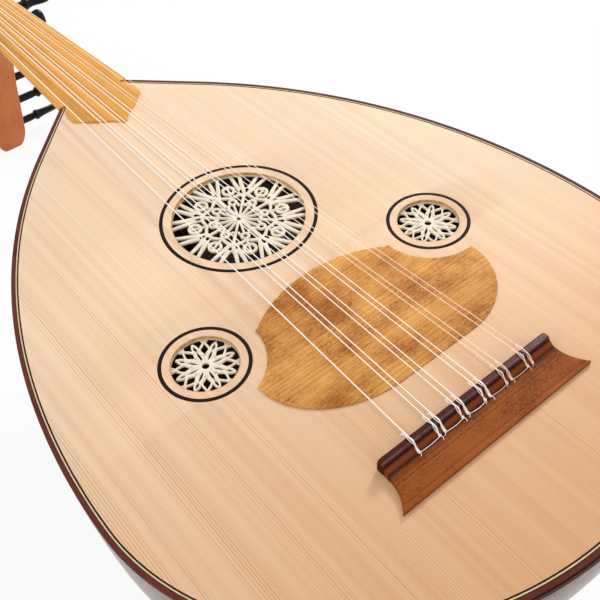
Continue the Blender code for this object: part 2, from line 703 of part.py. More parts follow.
def make_neck(frame):
    angles = section_angles(SECTION_STEPS)
    rings = []
    for step in range(NECK_STEPS + 1):
        y = CLEARANCE / 2 + (NUT_BACK - CLEARANCE / 2) * step / NECK_STEPS
        width = neck_half_width(y)
        ring = []
        for angle in angles:
            shape = section(angle, NECK_SIDE_TUCK)[0]
            ring.append((width * shape.x, y, -RIM_DROP + width * shape.y))
        rings.append(ring)
    add_object("neck", *bridged(rings), MAHOGANY, frame)


def tongue_outline():
    """Give the right half of the tongue, from the joint to its point on the centre line."""
    side = JOINT_HALF_WIDTH
    root = TONGUE_ROOT_HALF_WIDTH
    corner = -TONGUE_CORNER
    points = [(root, 0.0), (root + 0.55 * (side - root), 0.30 * corner), (side, 0.66 * corner)]
    points += [(side - 0.0008, 0.90 * corner), (side - 0.003, corner * 1.07)]
    dip = (0.38 * side, corner + 0.57 * (corner + TONGUE_LENGTH) * -1)
    points += [dip, (0.12 * side, -TONGUE_LENGTH * 0.955), (0.0, -TONGUE_LENGTH)]
    return points


def make_fingerboard(frame):
    board = [(NUT_HALF_WIDTH, NECK_LENGTH), (JOINT_HALF_WIDTH, CLEARANCE / 2)]
    board += [(x, min(y, CLEARANCE / 2)) for x, y in tongue_outline()]
    outline = board + [(-x, y) for x, y in reversed(board[:-1])]
    fingerboard = prism("fingerboard", outline, FINGERBOARD_BOTTOM, FINGERBOARD_HEIGHT, AFRORMOSIA, frame)
    reach = 2 * JOINT_HALF_WIDTH
    far = -2 * TONGUE_LENGTH
    box = [(-reach, far), (reach, far), (reach, CLEARANCE), (-reach, CLEARANCE)]
    under = FINGERBOARD_HEIGHT - TONGUE_THICKNESS
    cut(fingerboard, cutter("tongue_cutter", [(box, 2 * FINGERBOARD_BOTTOM, under)], frame))


def make_nut(frame):
    low = FINGERBOARD_BOTTOM
    edge = NUT_THICKNESS * 0.3
    profile = [(NUT_FRONT, low), (NUT_FRONT, NUT_TOP - edge), (NUT_FRONT + edge, NUT_TOP)]
    profile += [(NUT_BACK - edge, NUT_TOP), (NUT_BACK, NUT_TOP - edge), (NUT_BACK, low)]
    rings = [[(x, y, z) for y, z in profile] for x in (-NUT_HALF_WIDTH, NUT_HALF_WIDTH)]
    add_object("nut", *bridged(rings), BONE, frame)


# Pegbox


def pegbox_curve(along):
    """Give the back's point in the Y-Z plane and its direction at a distance from the neck."""
    start_y = NUT_BACK + CLEARANCE
    start_z = -RIM_DROP - neck_half_width(NUT_BACK) * BOWL_DEPTH / BODY_HALF_WIDTH
    point = Vector((start_y, start_z))
    steps = 24
    direction = Vector((0, 0))
    for step in range(steps):
        share = along * (step + 0.5) / steps / PEGBOX_LENGTH
        tilt = PEGBOX_START_TILT + (PEGBOX_END_TILT - PEGBOX_START_TILT) * min(1.0, 1.6 * share)
        direction = Vector((math.sin(tilt), -math.cos(tilt)))
        point = point + direction * along / steps
    if along == 0:
        direction = Vector((math.sin(PEGBOX_START_TILT), -math.cos(PEGBOX_START_TILT)))
    return point, direction


def pegbox_depth(along):
    if along < PEGBOX_DEEPEST_AT:
        share = along / PEGBOX_DEEPEST_AT
        return PEGBOX_MOUTH_DEPTH + (PEGBOX_DEEPEST - PEGBOX_MOUTH_DEPTH) * share
    share = (along - PEGBOX_DEEPEST_AT) / (PEGBOX_LENGTH - PEGBOX_DEEPEST_AT)
    return PEGBOX_DEEPEST + (PEGBOX_TIP_DEPTH - PEGBOX_DEEPEST) * share


def pegbox_place(along, depth):
    """Give the Y-Z point at a distance along the back and a depth towards the open front."""
    point, direction = pegbox_curve(along)
    upright = Vector((0, 1))
    square = Vector((-direction.y, direction.x))
    blend = min(1.0, along / PEGBOX_DEEPEST_AT)
    inward = (upright * (1 - blend) + square * blend).normalized()
    return point + inward * depth


def pegbox_half_width(along):
    mouth = neck_half_width(NUT_BACK)
    return mouth + (PEGBOX_TIP_HALF_WIDTH - mouth) * (along / PEGBOX_LENGTH) ** PEGBOX_NARROWING_POWER


def channel_half_width(along):
    """Give the half width between the cheeks, which are thinner where the strings enter."""
    taper = min(1.0, along / CHEEK_TAPER_LENGTH)
    cheek = CHEEK_MOUTH_THICKNESS + (CHEEK_THICKNESS - CHEEK_MOUTH_THICKNESS) * taper
    return pegbox_half_width(along) - cheek


def rounded_half_width(along):
    """Give the half width with the tip's corners drawn in along a flat curve."""
    share = max(0.0, 1 - (PEGBOX_LENGTH - along) / TIP_ROUND_LENGTH)
    return pegbox_half_width(along) - TIP_ROUND_WIDTH * (1 - math.sqrt(max(0.0, 1 - share**2)))


def tip_alongs():
    """Give distances that crowd together where the tip's corners turn."""
    last = math.pi / 2 * TIP_TURN_SHARE
    turns = [last * step / TIP_STEPS for step in range(TIP_STEPS + 1)]
    return [PEGBOX_LENGTH - TIP_ROUND_LENGTH * (1 - math.sin(turn)) for turn in turns]


def pegbox_ring(along, width, low_depth, high_depth, inner_width=None):
    inner = -width if inner_width is None else inner_width
    low = pegbox_place(along, low_depth)
    high = pegbox_place(along, high_depth)
    return [(inner, *low), (width, *low), (width, *high), (inner, *high)]


def peg_places():
    """Name each peg with its side and distance along the pegbox; the sides take turns from the nut on."""
    spacing = (PEGBOX_LENGTH - LAST_PEG_FROM_TIP - FIRST_PEG_FROM_NUT) / (PEG_COUNT - 1)
    places = []
    for number in range(PEG_COUNT):
        hand, side = ("bass", -1) if number % 2 else ("treble", 1)
        places.append((f"{hand}_peg_{number // 2 + 1}", side, FIRST_PEG_FROM_NUT + spacing * number))
    return places


def peg_depth(along):
    """Give the peg's axis above the back's outer face, a little nearer the open front."""
    return PEGBOX_BACK_THICKNESS + (pegbox_depth(along) - PEGBOX_BACK_THICKNESS) * PEG_DEPTH_SHARE


def peg_center(along):
    return pegbox_place(along, peg_depth(along))


def shaft_radius(side_x, side):
    """Give the tapered shaft's radius at an X; side is the head's side."""
    share = (side * side_x + PEG_TAPER_REACH) / (2 * PEG_TAPER_REACH)
    return PEG_END_RADIUS + (PEG_SHAFT_RADIUS - PEG_END_RADIUS) * share


def make_pegbox(frame):
    body_end = PEGBOX_LENGTH - TIP_BLOCK_LENGTH
    straight_end = PEGBOX_LENGTH - TIP_ROUND_LENGTH
    alongs = [straight_end * step / PEGBOX_STEPS for step in range(PEGBOX_STEPS)]
    alongs = sorted(alongs + [CHEEK_TAPER_LENGTH, body_end] + tip_alongs())
    rings = []
    for along in alongs:
        rings.append(pegbox_ring(along, rounded_half_width(along), 0.0, PEGBOX_BACK_THICKNESS))
    add_object("pegbox_back", *bridged(rings), MAHOGANY, frame)
    inside = PEGBOX_BACK_THICKNESS + CLEARANCE
    for name, side in (("bass_cheek", -1), ("treble_cheek", 1)):
        rings = []
        for along in alongs[: alongs.index(body_end) + 1]:
            outer = side * rounded_half_width(along)
            inner = side * channel_half_width(along)
            rings.append(pegbox_ring(along, outer, inside, pegbox_depth(along), inner))
        cheek = add_object(name, *bridged(rings), MAHOGANY, frame)
        cut(cheek, peg_hole_cutter(name + "_hole_cutter", side, frame))
    rings = []
    for along in [body_end + CLEARANCE] + alongs[alongs.index(body_end) + 1 :]:
        rings.append(pegbox_ring(along, rounded_half_width(along), inside, pegbox_depth(along)))
    add_object("pegbox_tip", *bridged(rings), MAHOGANY, frame)


def peg_hole_cutter(name, side, frame):
    """Join the tapered holes of one cheek into one hidden cutter that reaches past both its faces."""
    points, faces = [], []
    for _, head_side, along in peg_places():
        center = peg_center(along)
        half_width = pegbox_half_width(along)
        rings = []
        for reach in (half_width - 2 * CHEEK_THICKNESS, half_width + CHEEK_THICKNESS):
            x = side * reach
            radius = shaft_radius(x, head_side) + PEG_HOLE_GAP
            rings.append(peg_ring(x, radius, radius, 0.0, center))
        ring_points, ring_faces = bridged(rings)
        faces += [tuple(len(points) + index for index in face) for face in ring_faces]
        points += ring_points
    return hidden(add_object(name, points, faces, WALNUT, frame))


def peg_ring(x, wide, thick, turn, center=(0.0, 0.0)):
    """Give a ring round a peg's axis; turn sets the wing's wide direction."""
    ring = []
    for step in range(PEG_SIDES):
        angle = math.tau * step / PEG_SIDES
        along, across = wide * math.cos(angle), thick * math.sin(angle)
        y = along * math.cos(turn) - across * math.sin(turn)
        z = along * math.sin(turn) + across * math.cos(turn)
        ring.append((x, center[0] + y, center[1] + z))
    return ring


def make_peg(name, side, along, neck_length, turn, frame):
    """Turn one peg: tapered shaft, grooves, collar, waist and flat wing; its origin is on its axis."""
    width = pegbox_half_width(along)
    collar = width + neck_length
    head = collar + PEG_COLLAR_LENGTH
    stations = [(-width, shaft_radius(-width * side, side), None)]
    groove_radii = (PEG_SHAFT_RADIUS, PEG_GROOVE_RADIUS, PEG_GROOVE_RADIUS, PEG_SHAFT_RADIUS)
    for before_collar, radius in zip(PEG_GROOVE_PLACES, groove_radii):
        stations.append((collar - before_collar, radius, None))
    stations.append((collar, PEG_COLLAR_RADIUS, None))
    stations.append((head, PEG_COLLAR_RADIUS, None))
    wide, thick = PEG_WING_HALF_WIDTH, PEG_WING_HALF_THICKNESS
    for share, wide_radius, thick_radius in (
        (0.20, PEG_WAIST_RADIUS * 1.25, PEG_WAIST_RADIUS),
        (0.52, wide * 0.92, PEG_WAIST_RADIUS),
        (0.78, wide, thick * 0.92),
        (1.00, wide * 0.72, thick),
    ):
        stations.append((head + share * PEG_HEAD_LENGTH, wide_radius, thick_radius))
    rings = []
    for x, wide_radius, thick_radius in stations:
        rings.append(peg_ring(side * x, wide_radius, thick_radius or wide_radius, turn))
    peg = add_object(name, *bridged(rings), EBONY, frame, sharp=40)
    center = peg_center(along)
    peg.location = (0.0, center.x, center.y)


def make_pegs(frame):
    for number, (name, side, along) in enumerate(peg_places()):
        turn = PEG_LAST_TURN + PEG_TURN_STEP * (PEG_COUNT - 1 - number)
        make_peg(name, side, along, PEG_NECK_LENGTHS[number], turn, frame)


# Strings


def string_places():
    """Name each string with its X at the nut, its X at the bridge, its radius and its finish.

    The single bass string lies a little further out at the nut than the pairs' spacing would put it.
    """
    places = []
    middle = (COURSE_COUNT - 1) / 2
    for course in range(COURSE_COUNT):
        sides = (0,) if course == 0 else (-0.5, 0.5)
        for pair, side in enumerate(sides):
            nut_x = (course - middle) * NUT_COURSE_SPACING + side * NUT_PAIR_SPACING
            nut_x -= 0 if course else BASS_NUT_SHIFT
            bridge_x = (course - middle) * BRIDGE_COURSE_SPACING + side * BRIDGE_PAIR_SPACING
            name = f"string_{course + 1}" + ("" if course == 0 else "ab"[pair])
            finish = WHITE_STRING if course < 4 else CLEAR_STRING
            places.append((name, nut_x, bridge_x, STRING_RADII[course], finish))
    return places


def string_pegs():
    """Give each string its peg: the outer strings take the pegs nearest the nut, side by side in turn."""
    places = peg_places()
    last = len(places) - 1
    order = [last - index // 2 if index % 2 == 0 else index // 2 for index in range(len(places))]
    return {order[index]: place[2] for index, place in enumerate(places)}


def taut_route(start_depth, target, lift):
    """Pull a string straight from the nut to its peg, behind the nearer shafts and above the back plate.

    The answer lists distances along the pegbox with their points in the Y-Z plane.
    """
    nearer = [place[2] for place in peg_places() if place[2] < target]
    stops = [0.0] + nearer + [target]
    alongs = [0.0]
    for before, after in zip(stops, stops[1:]):
        alongs += [(before + after) / 2, after]
    behind = PEG_SHAFT_RADIUS + lift
    lowest = PEGBOX_BACK_THICKNESS + lift
    bases = [pegbox_place(along, 0.0) for along in alongs]
    inwards = [pegbox_place(along, 1.0) - base for along, base in zip(alongs, bases)]
    end_depth = peg_depth(target) - behind
    places = []
    for along, base, inward in zip(alongs, bases, inwards):
        places.append(base + inward * (start_depth + (end_depth - start_depth) * along / target))
    for _ in range(STRING_SETTLING_LAPS):
        for index in range(1, len(alongs)):
            along, base, inward = alongs[index], bases[index], inwards[index]
            before = places[index - 1]
            after = places[min(index + 1, len(alongs) - 1)]
            front = Vector((before.y - after.y, after.x - before.x)).normalized()
            if along == target:
                places[index] = peg_center(along) - front * behind
                continue
            share = (along - alongs[index - 1]) / (alongs[index + 1] - alongs[index - 1])
            depth = max(lowest, (before + (after - before) * share - base).dot(inward))
            if along in nearer:
                room = (peg_center(along) - base).dot(front) - behind
                depth = min(depth, room / inward.dot(front))
            places[index] = base + inward * depth
    return list(zip(alongs, places))


def string_route(nut_x, bridge_x, radius, target, gather):
    """Give the string's route: peg, nut, bridge top and its short end behind the bridge."""
    lift = radius + STRING_SEAT_GAP
    foot = pegbox_place(0.0, 0.0)
    route = taut_route(NUT_TOP + lift - foot.y, target, lift)
    points = []
    for along, place in reversed(route):
        gathered = nut_x * (1 - gather * min(1.0, along / FIRST_PEG_FROM_NUT))
        points.append((gathered, place.x, place.y))
    points.append((nut_x, NUT_FRONT + NUT_THICKNESS * 0.3, NUT_TOP + lift))
    around = BRIDGE_CAP_ROUND + 1.1 * lift
    points.append((bridge_x, BRIDGE_FRONT - BRIDGE_CAP_ROUND, BRIDGE_TOP + 1.1 * lift))
    for turn in (90, 115, 140):
        y = BRIDGE_CAP_BACK + BRIDGE_CAP_ROUND + around * math.cos(math.radians(turn))
        z = BRIDGE_TOP - BRIDGE_CAP_ROUND + around * math.sin(math.radians(turn))
        points.append((bridge_x, y, z))
    slope = Vector((BRIDGE_BACK - BRIDGE_CAP_BACK, BRIDGE_SKIRT_HEIGHT - BRIDGE_BASE_HEIGHT))
    outward = Vector((slope.y, -slope.x)).normalized()
    edge = Vector((BRIDGE_CAP_BACK, CLEARANCE + BRIDGE_BASE_HEIGHT))
    end = edge + STRING_TAIL_SHARE * slope + 1.4 * lift * outward
    points.append((bridge_x, end.x, end.y))
    return points


def make_string(name, points, radius, finish, frame):
    curve = bpy.data.curves.new(name, "CURVE")
    curve.dimensions = "3D"
    curve.bevel_depth = radius
    curve.bevel_resolution = 1
    curve.use_fill_caps = True
    spline = curve.splines.new("POLY")
    spline.points.add(len(points) - 1)
    for spot, point in zip(spline.points, points):
        spot.co = (*point, 1)
    curve.materials.append(material(finish))
    placed = bpy.data.objects.new(name, curve)
    bpy.context.scene.collection.objects.link(placed)
    placed.parent = frame


def make_strings(frame):
    pegs = string_pegs()
    for number, (name, nut_x, bridge_x, radius, finish) in enumerate(string_places()):
        gather = STRING_GATHER if number else BASS_STRING_GATHER
        route = string_route(nut_x, bridge_x, radius, pegs[number], gather)
        make_string(name, route, radius, finish, frame)


# Whole oud


def frame_shift():
    """Give the move that stands the oud's bounding box on the origin."""
    tip_end = tip_alongs()[-1]
    tip = pegbox_place(tip_end, 0.0)
    front = pegbox_place(tip_end, pegbox_depth(PEGBOX_LENGTH))
    tail = -BODY_LENGTH - CLEARANCE - END_CLASP_THICKNESS
    lowest = min(tip.y, -RIM_DROP - BOWL_DEPTH)
    return Vector((0.0, -(front.x + tail) / 2, -lowest))


def main():
    for old in list(bpy.data.objects):
        bpy.data.objects.remove(old, do_unlink=True)
    frame = bpy.data.objects.new("oud_frame", None)
    bpy.context.scene.collection.objects.link(frame)
    frame.location = frame_shift()
    make_bowl(frame)
    make_blocks(frame)
    make_end_clasp(frame)
    make_soundboard(frame)
    make_edging(frame)
    make_rosettes(frame)
    make_braces(frame)
    make_pickguard(frame)
    make_bridge(frame)
    make_neck(frame)
    make_fingerboard(frame)
    make_nut(frame)
    make_pegbox(frame)
    make_pegs(frame)
    make_strings(frame)


main()
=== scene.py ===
import json
from math import acos, asin, atan, atan2, cos, pi, radians, sin, sqrt, tau

import bmesh
import bpy
from mathutils import Matrix, Vector

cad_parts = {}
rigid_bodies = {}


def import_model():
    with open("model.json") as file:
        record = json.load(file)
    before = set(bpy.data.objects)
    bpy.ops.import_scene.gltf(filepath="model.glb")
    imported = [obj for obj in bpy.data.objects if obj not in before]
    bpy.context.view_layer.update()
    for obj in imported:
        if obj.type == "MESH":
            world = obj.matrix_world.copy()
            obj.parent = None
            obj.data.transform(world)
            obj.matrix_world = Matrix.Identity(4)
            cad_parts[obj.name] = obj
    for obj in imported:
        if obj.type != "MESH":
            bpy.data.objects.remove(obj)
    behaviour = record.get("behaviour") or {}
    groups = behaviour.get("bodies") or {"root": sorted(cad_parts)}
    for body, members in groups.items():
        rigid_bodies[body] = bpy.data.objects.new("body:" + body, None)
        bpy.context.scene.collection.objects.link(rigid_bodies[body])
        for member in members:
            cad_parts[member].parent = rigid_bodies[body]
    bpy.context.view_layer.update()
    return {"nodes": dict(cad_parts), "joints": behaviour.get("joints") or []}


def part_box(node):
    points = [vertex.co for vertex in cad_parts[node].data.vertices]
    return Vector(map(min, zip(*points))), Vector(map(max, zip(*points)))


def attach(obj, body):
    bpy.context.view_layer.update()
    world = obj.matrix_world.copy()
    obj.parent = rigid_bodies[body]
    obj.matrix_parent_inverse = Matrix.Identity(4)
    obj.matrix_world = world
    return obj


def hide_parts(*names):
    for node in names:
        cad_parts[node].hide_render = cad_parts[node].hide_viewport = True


for leftOver in list(bpy.data.objects):
    bpy.data.objects.remove(leftOver, do_unlink=True)
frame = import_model()
print("frame loaded:", len(frame["nodes"]), "nodes")

mm = 0.001
hair = 0.3 * mm  # the joint line that every glued piece keeps to its neighbour
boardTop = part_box("soundboard")[1].z
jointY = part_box("soundboard")[1].y + hair / 2
home = Vector((0, jointY, boardTop))  # joint of neck and body, on the soundboard's face

outline = dict(
    halfWidth=184.9 * mm,
    widest=330 * mm,
    straight=59 * mm,
    jointHalf=29.5 * mm,
    bodyLength=490 * mm,
    bowlDepth=188 * mm,
    sideBulge=0.2 * mm,
    rimDrop=2.3 * mm,
)
rosettes = dict(
    large=dict(center=(0, -190.5 * mm), hole=44 * mm, ring=52.1 * mm, ringWidth=2.4 * mm),
    bass=dict(center=(-87.3 * mm, -277.1 * mm), hole=19.7 * mm, ring=26.8 * mm, ringWidth=2.3 * mm),
    treble=dict(center=(87.3 * mm, -277.1 * mm), hole=19.7 * mm, ring=26.8 * mm, ringWidth=2.3 * mm),
)


# small helpers for meshes


sameSpot = 1e-6  # points nearer than this are one


def at(x, y, z=0.0):
    return home + Vector((x, y, z))


def linked(name, data):
    made = bpy.data.objects.new(name, data)
    bpy.context.scene.collection.objects.link(made)
    return made


def newObject(name, mesh, finish, smoothAngle=35, body="oud", replaced=()):
    mesh.shade_smooth()
    mesh.set_sharp_from_angle(angle=radians(smoothAngle))
    mesh.materials.clear()
    material, slot = finishes[finish]
    mesh.materials.append(material)
    piece = linked(name, mesh)
    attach(piece, body)
    if replaced:
        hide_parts(*replaced)


def joinRings(build, rings, capped=True, turned=()):
    # faces between closed rings of equally many points; turned columns start theirs a corner later
    rows = [[build.verts.new(point) for point in ring] for ring in rings]
    count = len(rows[0])
    for low, high in zip(rows, rows[1:]):
        for column in range(count):
            after = (column + 1) % count
            face = [low[column], low[after], high[after], high[column]]
            build.faces.new(face[1:] + face[:1] if column in turned else face)
    if capped:
        build.faces.new(list(reversed(rows[0])))
        build.faces.new(rows[-1])


def toMesh(name, build):
    mesh = bpy.data.meshes.new(name)
    bmesh.ops.recalc_face_normals(build, faces=build.faces)
    build.to_mesh(mesh)
    build.free()
    return mesh


def skin(name, rings, finish, grainPlaces=(), turned=(), **how):
    # a closed skin through rings; grain places are kept on its points where given
    build = bmesh.new()
    joinRings(build, rings, True, turned)
    bmesh.ops.remove_doubles(build, verts=build.verts, dist=sameSpot)
    mesh = toMesh(name, build)
    if grainPlaces:
        kept = mesh.attributes.new("grainPlace", "FLOAT_VECTOR", "POINT")
        kept.data.foreach_set("vector", [number for place in grainPlaces for number in place])
    newObject(name, mesh, finish, **how)


def curveMesh(name, routes, closed, **settings):
    curve = bpy.data.curves.new(name, "CURVE")
    for key, value in settings.items():
        setattr(curve, key, value)
    for route in routes:
        spline = curve.splines.new("POLY")
        spline.points.add(len(route) - 1)
        spline.use_cyclic_u = closed
        for spot, point in zip(spline.points, route):
            spot.co = (*Vector(point).to_3d(), 1)
    helper = linked(name + "Route", curve)
    mesh = bpy.data.meshes.new_from_object(helper.evaluated_get(bpy.context.evaluated_depsgraph_get()))
    bpy.data.objects.remove(helper, do_unlink=True)
    return mesh


def flatPiece(name, loops, low, high, finish, edge=0.15 * mm, **how):
    # a flat piece cut from sheet: filled outlines with softened edges, holes where loops lie inside
    mesh = curveMesh(name, loops, True, dimensions="2D", fill_mode="BOTH", extrude=(high - low) / 2 - edge,
                     bevel_depth=edge, bevel_resolution=1, offset=-edge)
    mesh.transform(Matrix.Translation(at(0, 0, (low + high) / 2)))
    build = bmesh.new()
    build.from_mesh(mesh)
    bmesh.ops.remove_doubles(build, verts=build.verts, dist=sameSpot)
    build.to_mesh(mesh)
    build.free()
    newObject(name, mesh, finish, **how)


def tube(name, routes, radius, finish, **how):
    # round cords along smooth routes, joined in one piece
    mesh = curveMesh(name, routes, False, dimensions="3D", bevel_depth=radius, bevel_resolution=2,
                     use_fill_caps=True)
    newObject(name, mesh, finish, 50, **how)


def polar(center, radius, turn):
    return (center[0] + radius * cos(turn), center[1] + radius * sin(turn))


def arc(center, radius, start, end, steps):
    return [polar(center, radius, start + (end - start) * step / steps) for step in range(steps + 1)]


def circle(center, radius, steps):
    return arc(center, radius, 0, tau, steps)[:-1]


def mirrored(points):
    return [(-x, y) for x, y in reversed(points)]


def smoothPath(anchors, perSpan):
    # a path through all the anchors, bent as a Catmull-Rom spline
    points = []
    last = len(anchors) - 1
    for index in range(last):
        before, start = anchors[max(index - 1, 0)], anchors[index]
        end, after = anchors[index + 1], anchors[min(index + 2, last)]
        for step in range(perSpan):
            share = step / perSpan
            spot = []
            for first, second, third, fourth in zip(before, start, end, after):
                spot.append(0.5 * (2 * second + (third - first) * share
                                   + (2 * first - 5 * second + 4 * third - fourth) * share**2
                                   + (3 * second - first - 3 * third + fourth) * share**3))
            points.append(tuple(spot))
    points.append(tuple(anchors[-1]))
    return points


# shader node groups and materials


def addNode(tree, kind, **settings):
    node = tree.nodes.new(kind)
    for key, value in settings.items():
        if key in node.inputs:
            node.inputs[key].default_value = value
        else:
            setattr(node, key, value)
    return node


def feed(tree, node, *pairs):
    # each input, by name or number, takes another node's output, a number or a colour
    for key, value in pairs:
        if isinstance(value, bpy.types.NodeSocket):
            tree.links.new(value, node.inputs[key])
        else:
            number = isinstance(value, (int, float))
            node.inputs[key].default_value = value if number else (*value[:3], 1)
    return node.outputs


def mathNode(tree, operation, *values):
    node = addNode(tree, "ShaderNodeMath", operation=operation)
    return feed(tree, node, *enumerate(values))[0]


def mixColor(tree, factor, first, second, blendType="MIX"):
    node = addNode(tree, "ShaderNodeMix", data_type="RGBA", blend_type=blendType)
    return feed(tree, node, (0, factor), (6, first), (7, second))[2]


def mixShader(tree, *inputs):
    return feed(tree, addNode(tree, "ShaderNodeMixShader"), *enumerate(inputs))[0]


def spread(tree, value, fromLow, fromHigh, toLow=0.0, toHigh=1.0):
    inputs = (value, fromLow, fromHigh, toLow, toHigh)
    return feed(tree, addNode(tree, "ShaderNodeMapRange"), *enumerate(inputs))[0]


def noiseNode(tree, vector, scale, detail=3.0, roughness=0.55):
    node = addNode(tree, "ShaderNodeTexNoise", Scale=scale, Detail=detail, Roughness=roughness)
    return feed(tree, node, ("Vector", vector))["Fac"]


def splitVector(tree, vector):
    return feed(tree, addNode(tree, "ShaderNodeSeparateXYZ"), (0, vector))


# noises: scale across and along the grain, detail, roughness; the pairs below are the part that shows
grain = dict(
    noises=dict(wander=(9, 2.0, 2.0, 0.55), uneven=(60, 0.5, 3.0, 0.55), cell=(210, 0.9, 2.0, 0.55),
                streaks=(900, 9, 3.0, 0.65), broad=(30, 1.3, 4.0, 0.55), cloud=(44, 30, 3.0, 0.55),
                pores=(2600, 480, 2.0, 0.7)),
    drift=0.008, lean=0.6, unevenness=6.0, lineRise=2.2, fine=0.2, poreDepth=(0.03, 0.012, 0.004),
    cell=(0.3, 0.68), streaks=(0.3, 0.7), broad=(0.32, 0.68), cloud=(0.35, 0.65), pores=(0.62, 0.76))


def makeGrainGroup():
    # straight-grained wood: growth lines across X, streaks and pores along Y
    group = bpy.data.node_groups.new("straightGrain", "ShaderNodeTree")
    sockets = (("INPUT", "Vector", ("Vector",)), ("INPUT", "Color", ("Light", "Dark", "Line")),
               ("INPUT", "Float", ("Lines Per Metre", "Line Strength", "Mottle", "Figure", "Pores")),
               ("OUTPUT", "Color", ("Color",)), ("OUTPUT", "Float", ("Height", "Mask")))
    for way, kind, names in sockets:
        for name in names:
            group.interface.new_socket(name=name, in_out=way, socket_type="NodeSocket" + kind)
    given = addNode(group, "NodeGroupInput").outputs

    def calc(operation, *values):
        return mathNode(group, operation, *values)

    def stretched(across, along):
        scaled = addNode(group, "ShaderNodeVectorMath", operation="MULTIPLY")
        scaled.inputs[1].default_value = (across, along, across)
        return feed(group, scaled, (0, given["Vector"]))[0]

    noise = {}
    for name, (across, along, detail, roughness) in grain["noises"].items():
        noise[name] = noiseNode(group, stretched(across, along), 1.0, detail, roughness)

    def banded(name, *reach):
        return spread(group, noise[name], *grain[name], *reach)

    x, _, z = splitVector(group, given["Vector"])
    drift = calc("MULTIPLY", calc("SUBTRACT", noise["wander"], 0.5), grain["drift"])
    across = calc("ADD", calc("ADD", x, drift), calc("MULTIPLY", z, grain["lean"]))
    phase = calc("MULTIPLY", across, given["Lines Per Metre"])
    phase = calc("ADD", phase, calc("MULTIPLY", noise["uneven"], grain["unevenness"]))
    saw = calc("FRACT", phase)
    growth = calc("MULTIPLY", calc("POWER", saw, grain["lineRise"]), spread(group, saw, 0.9, 1.0, 1.0, 0.0))
    varied = calc("MULTIPLY", growth, banded("cell", 0.25, 1.25))
    mottle = calc("MULTIPLY", banded("broad"), given["Mottle"])
    fine = calc("MULTIPLY", banded("streaks"), grain["fine"])
    figure = calc("MULTIPLY", banded("cloud"), given["Figure"])
    tone = calc("ADD", calc("ADD", mottle, fine), figure)
    base = mixColor(group, calc("MINIMUM", tone, 1.0), given["Light"], given["Dark"])
    lines = calc("MINIMUM", calc("MULTIPLY", varied, given["Line Strength"]), 1.0)
    lined = mixColor(group, lines, base, given["Line"])
    density = calc("ADD", calc("MULTIPLY", noise["cloud"], 0.5), calc("MULTIPLY", noise["pores"], 0.75))
    poreMask = calc("MULTIPLY", spread(group, density, *grain["pores"]), given["Pores"])
    poreColor = mixColor(group, 0.3, given["Line"], grain["poreDepth"])
    color = mixColor(group, poreMask, lined, poreColor)
    height = calc("ADD", calc("MULTIPLY", noise["streaks"], 0.5), lines)
    height = calc("SUBTRACT", height, calc("MULTIPLY", poreMask, 1.5))
    feed(group, addNode(group, "NodeGroupOutput"), ("Color", color), ("Height", height), ("Mask", varied))
    return group


grainGroup = makeGrainGroup()


def srgb(*color):
    shares = [value / 255 for value in color]
    return [share / 12.92 if share <= 0.04045 else ((share + 0.055) / 1.055) ** 2.4 for share in shares]


finishes = {}  # each finish by name, with the slot that its pieces fill


def startMaterial(name):
    made = bpy.data.materials.new(name)
    made.use_nodes = True
    tree = made.node_tree
    return made, tree, tree.nodes["Principled BSDF"]


def setBump(tree, shader, height, strength, distance):
    bump = addNode(tree, "ShaderNodeBump", Strength=strength, Distance=distance)
    feed(tree, shader, ("Normal", feed(tree, bump, ("Height", height))[0]))


def addWood(name, slot, light, dark, line, lines, lineStrength, rough, mottle=0.5, figure=0.0, pores=0.3,
            turn=(0, 0, 0), coat=0.0, coatRough=0.12, shine=0.3, bump=0.15, paintedLight=None,
            followsPiece=False):
    made, tree, shader = startMaterial(name)
    if followsPiece:
        place = addNode(tree, "ShaderNodeAttribute", attribute_name="grainPlace").outputs["Vector"]
    else:
        place = addNode(tree, "ShaderNodeTexCoord").outputs["Object"]
    mapping = addNode(tree, "ShaderNodeMapping", Rotation=turn)
    wood = addNode(tree, "ShaderNodeGroup", node_tree=grainGroup)
    wood = feed(tree, wood, ("Vector", feed(tree, mapping, (0, place))[0]), ("Light", srgb(*light)),
                ("Dark", srgb(*dark)), ("Line", srgb(*line)), ("Lines Per Metre", lines),
                ("Line Strength", lineStrength), ("Mottle", mottle), ("Figure", figure), ("Pores", pores))
    # paintedLight, where given, paints shade or a highlight onto the wood's colour
    color = paintedLight(tree, place, wood["Color"]) if paintedLight else wood["Color"]
    feed(tree, shader, ("Base Color", color), ("Roughness", spread(tree, wood["Mask"], 0, 1, *rough)),
         ("Specular IOR Level", shine), ("Coat Weight", coat), ("Coat Roughness", coatRough))
    setBump(tree, shader, wood["Height"], bump, 0.3 * mm)
    finishes[name] = made, slot


def addPlain(name, slot, light, dark, scale, rough, bump, coat=0.0, shine=0.3, alpha=1.0, glow=0.0):
    # glow is painted light: the strings glow a little so that they look brighter
    made, tree, shader = startMaterial(name)
    cloud = noiseNode(tree, addNode(tree, "ShaderNodeTexCoord").outputs["Object"], scale, 4.0)
    color = mixColor(tree, spread(tree, cloud, 0.3, 0.7), srgb(*light), srgb(*dark))
    feed(tree, shader, ("Base Color", color), ("Roughness", spread(tree, cloud, 0.3, 0.7, *rough)),
         ("Specular IOR Level", shine), ("Coat Weight", coat), ("Coat Roughness", 0.12), ("Alpha", alpha),
         ("Emission Color", srgb(*light)), ("Emission Strength", glow))
    setBump(tree, shader, cloud, bump, 0.2 * mm)
    finishes[name] = made, slot


# painted shade on the board towards the tail: where it starts, how strongly it darkens, and its tone
paintedTailShade = dict(start=200 * mm, share=0.9, color=(234, 204, 174))


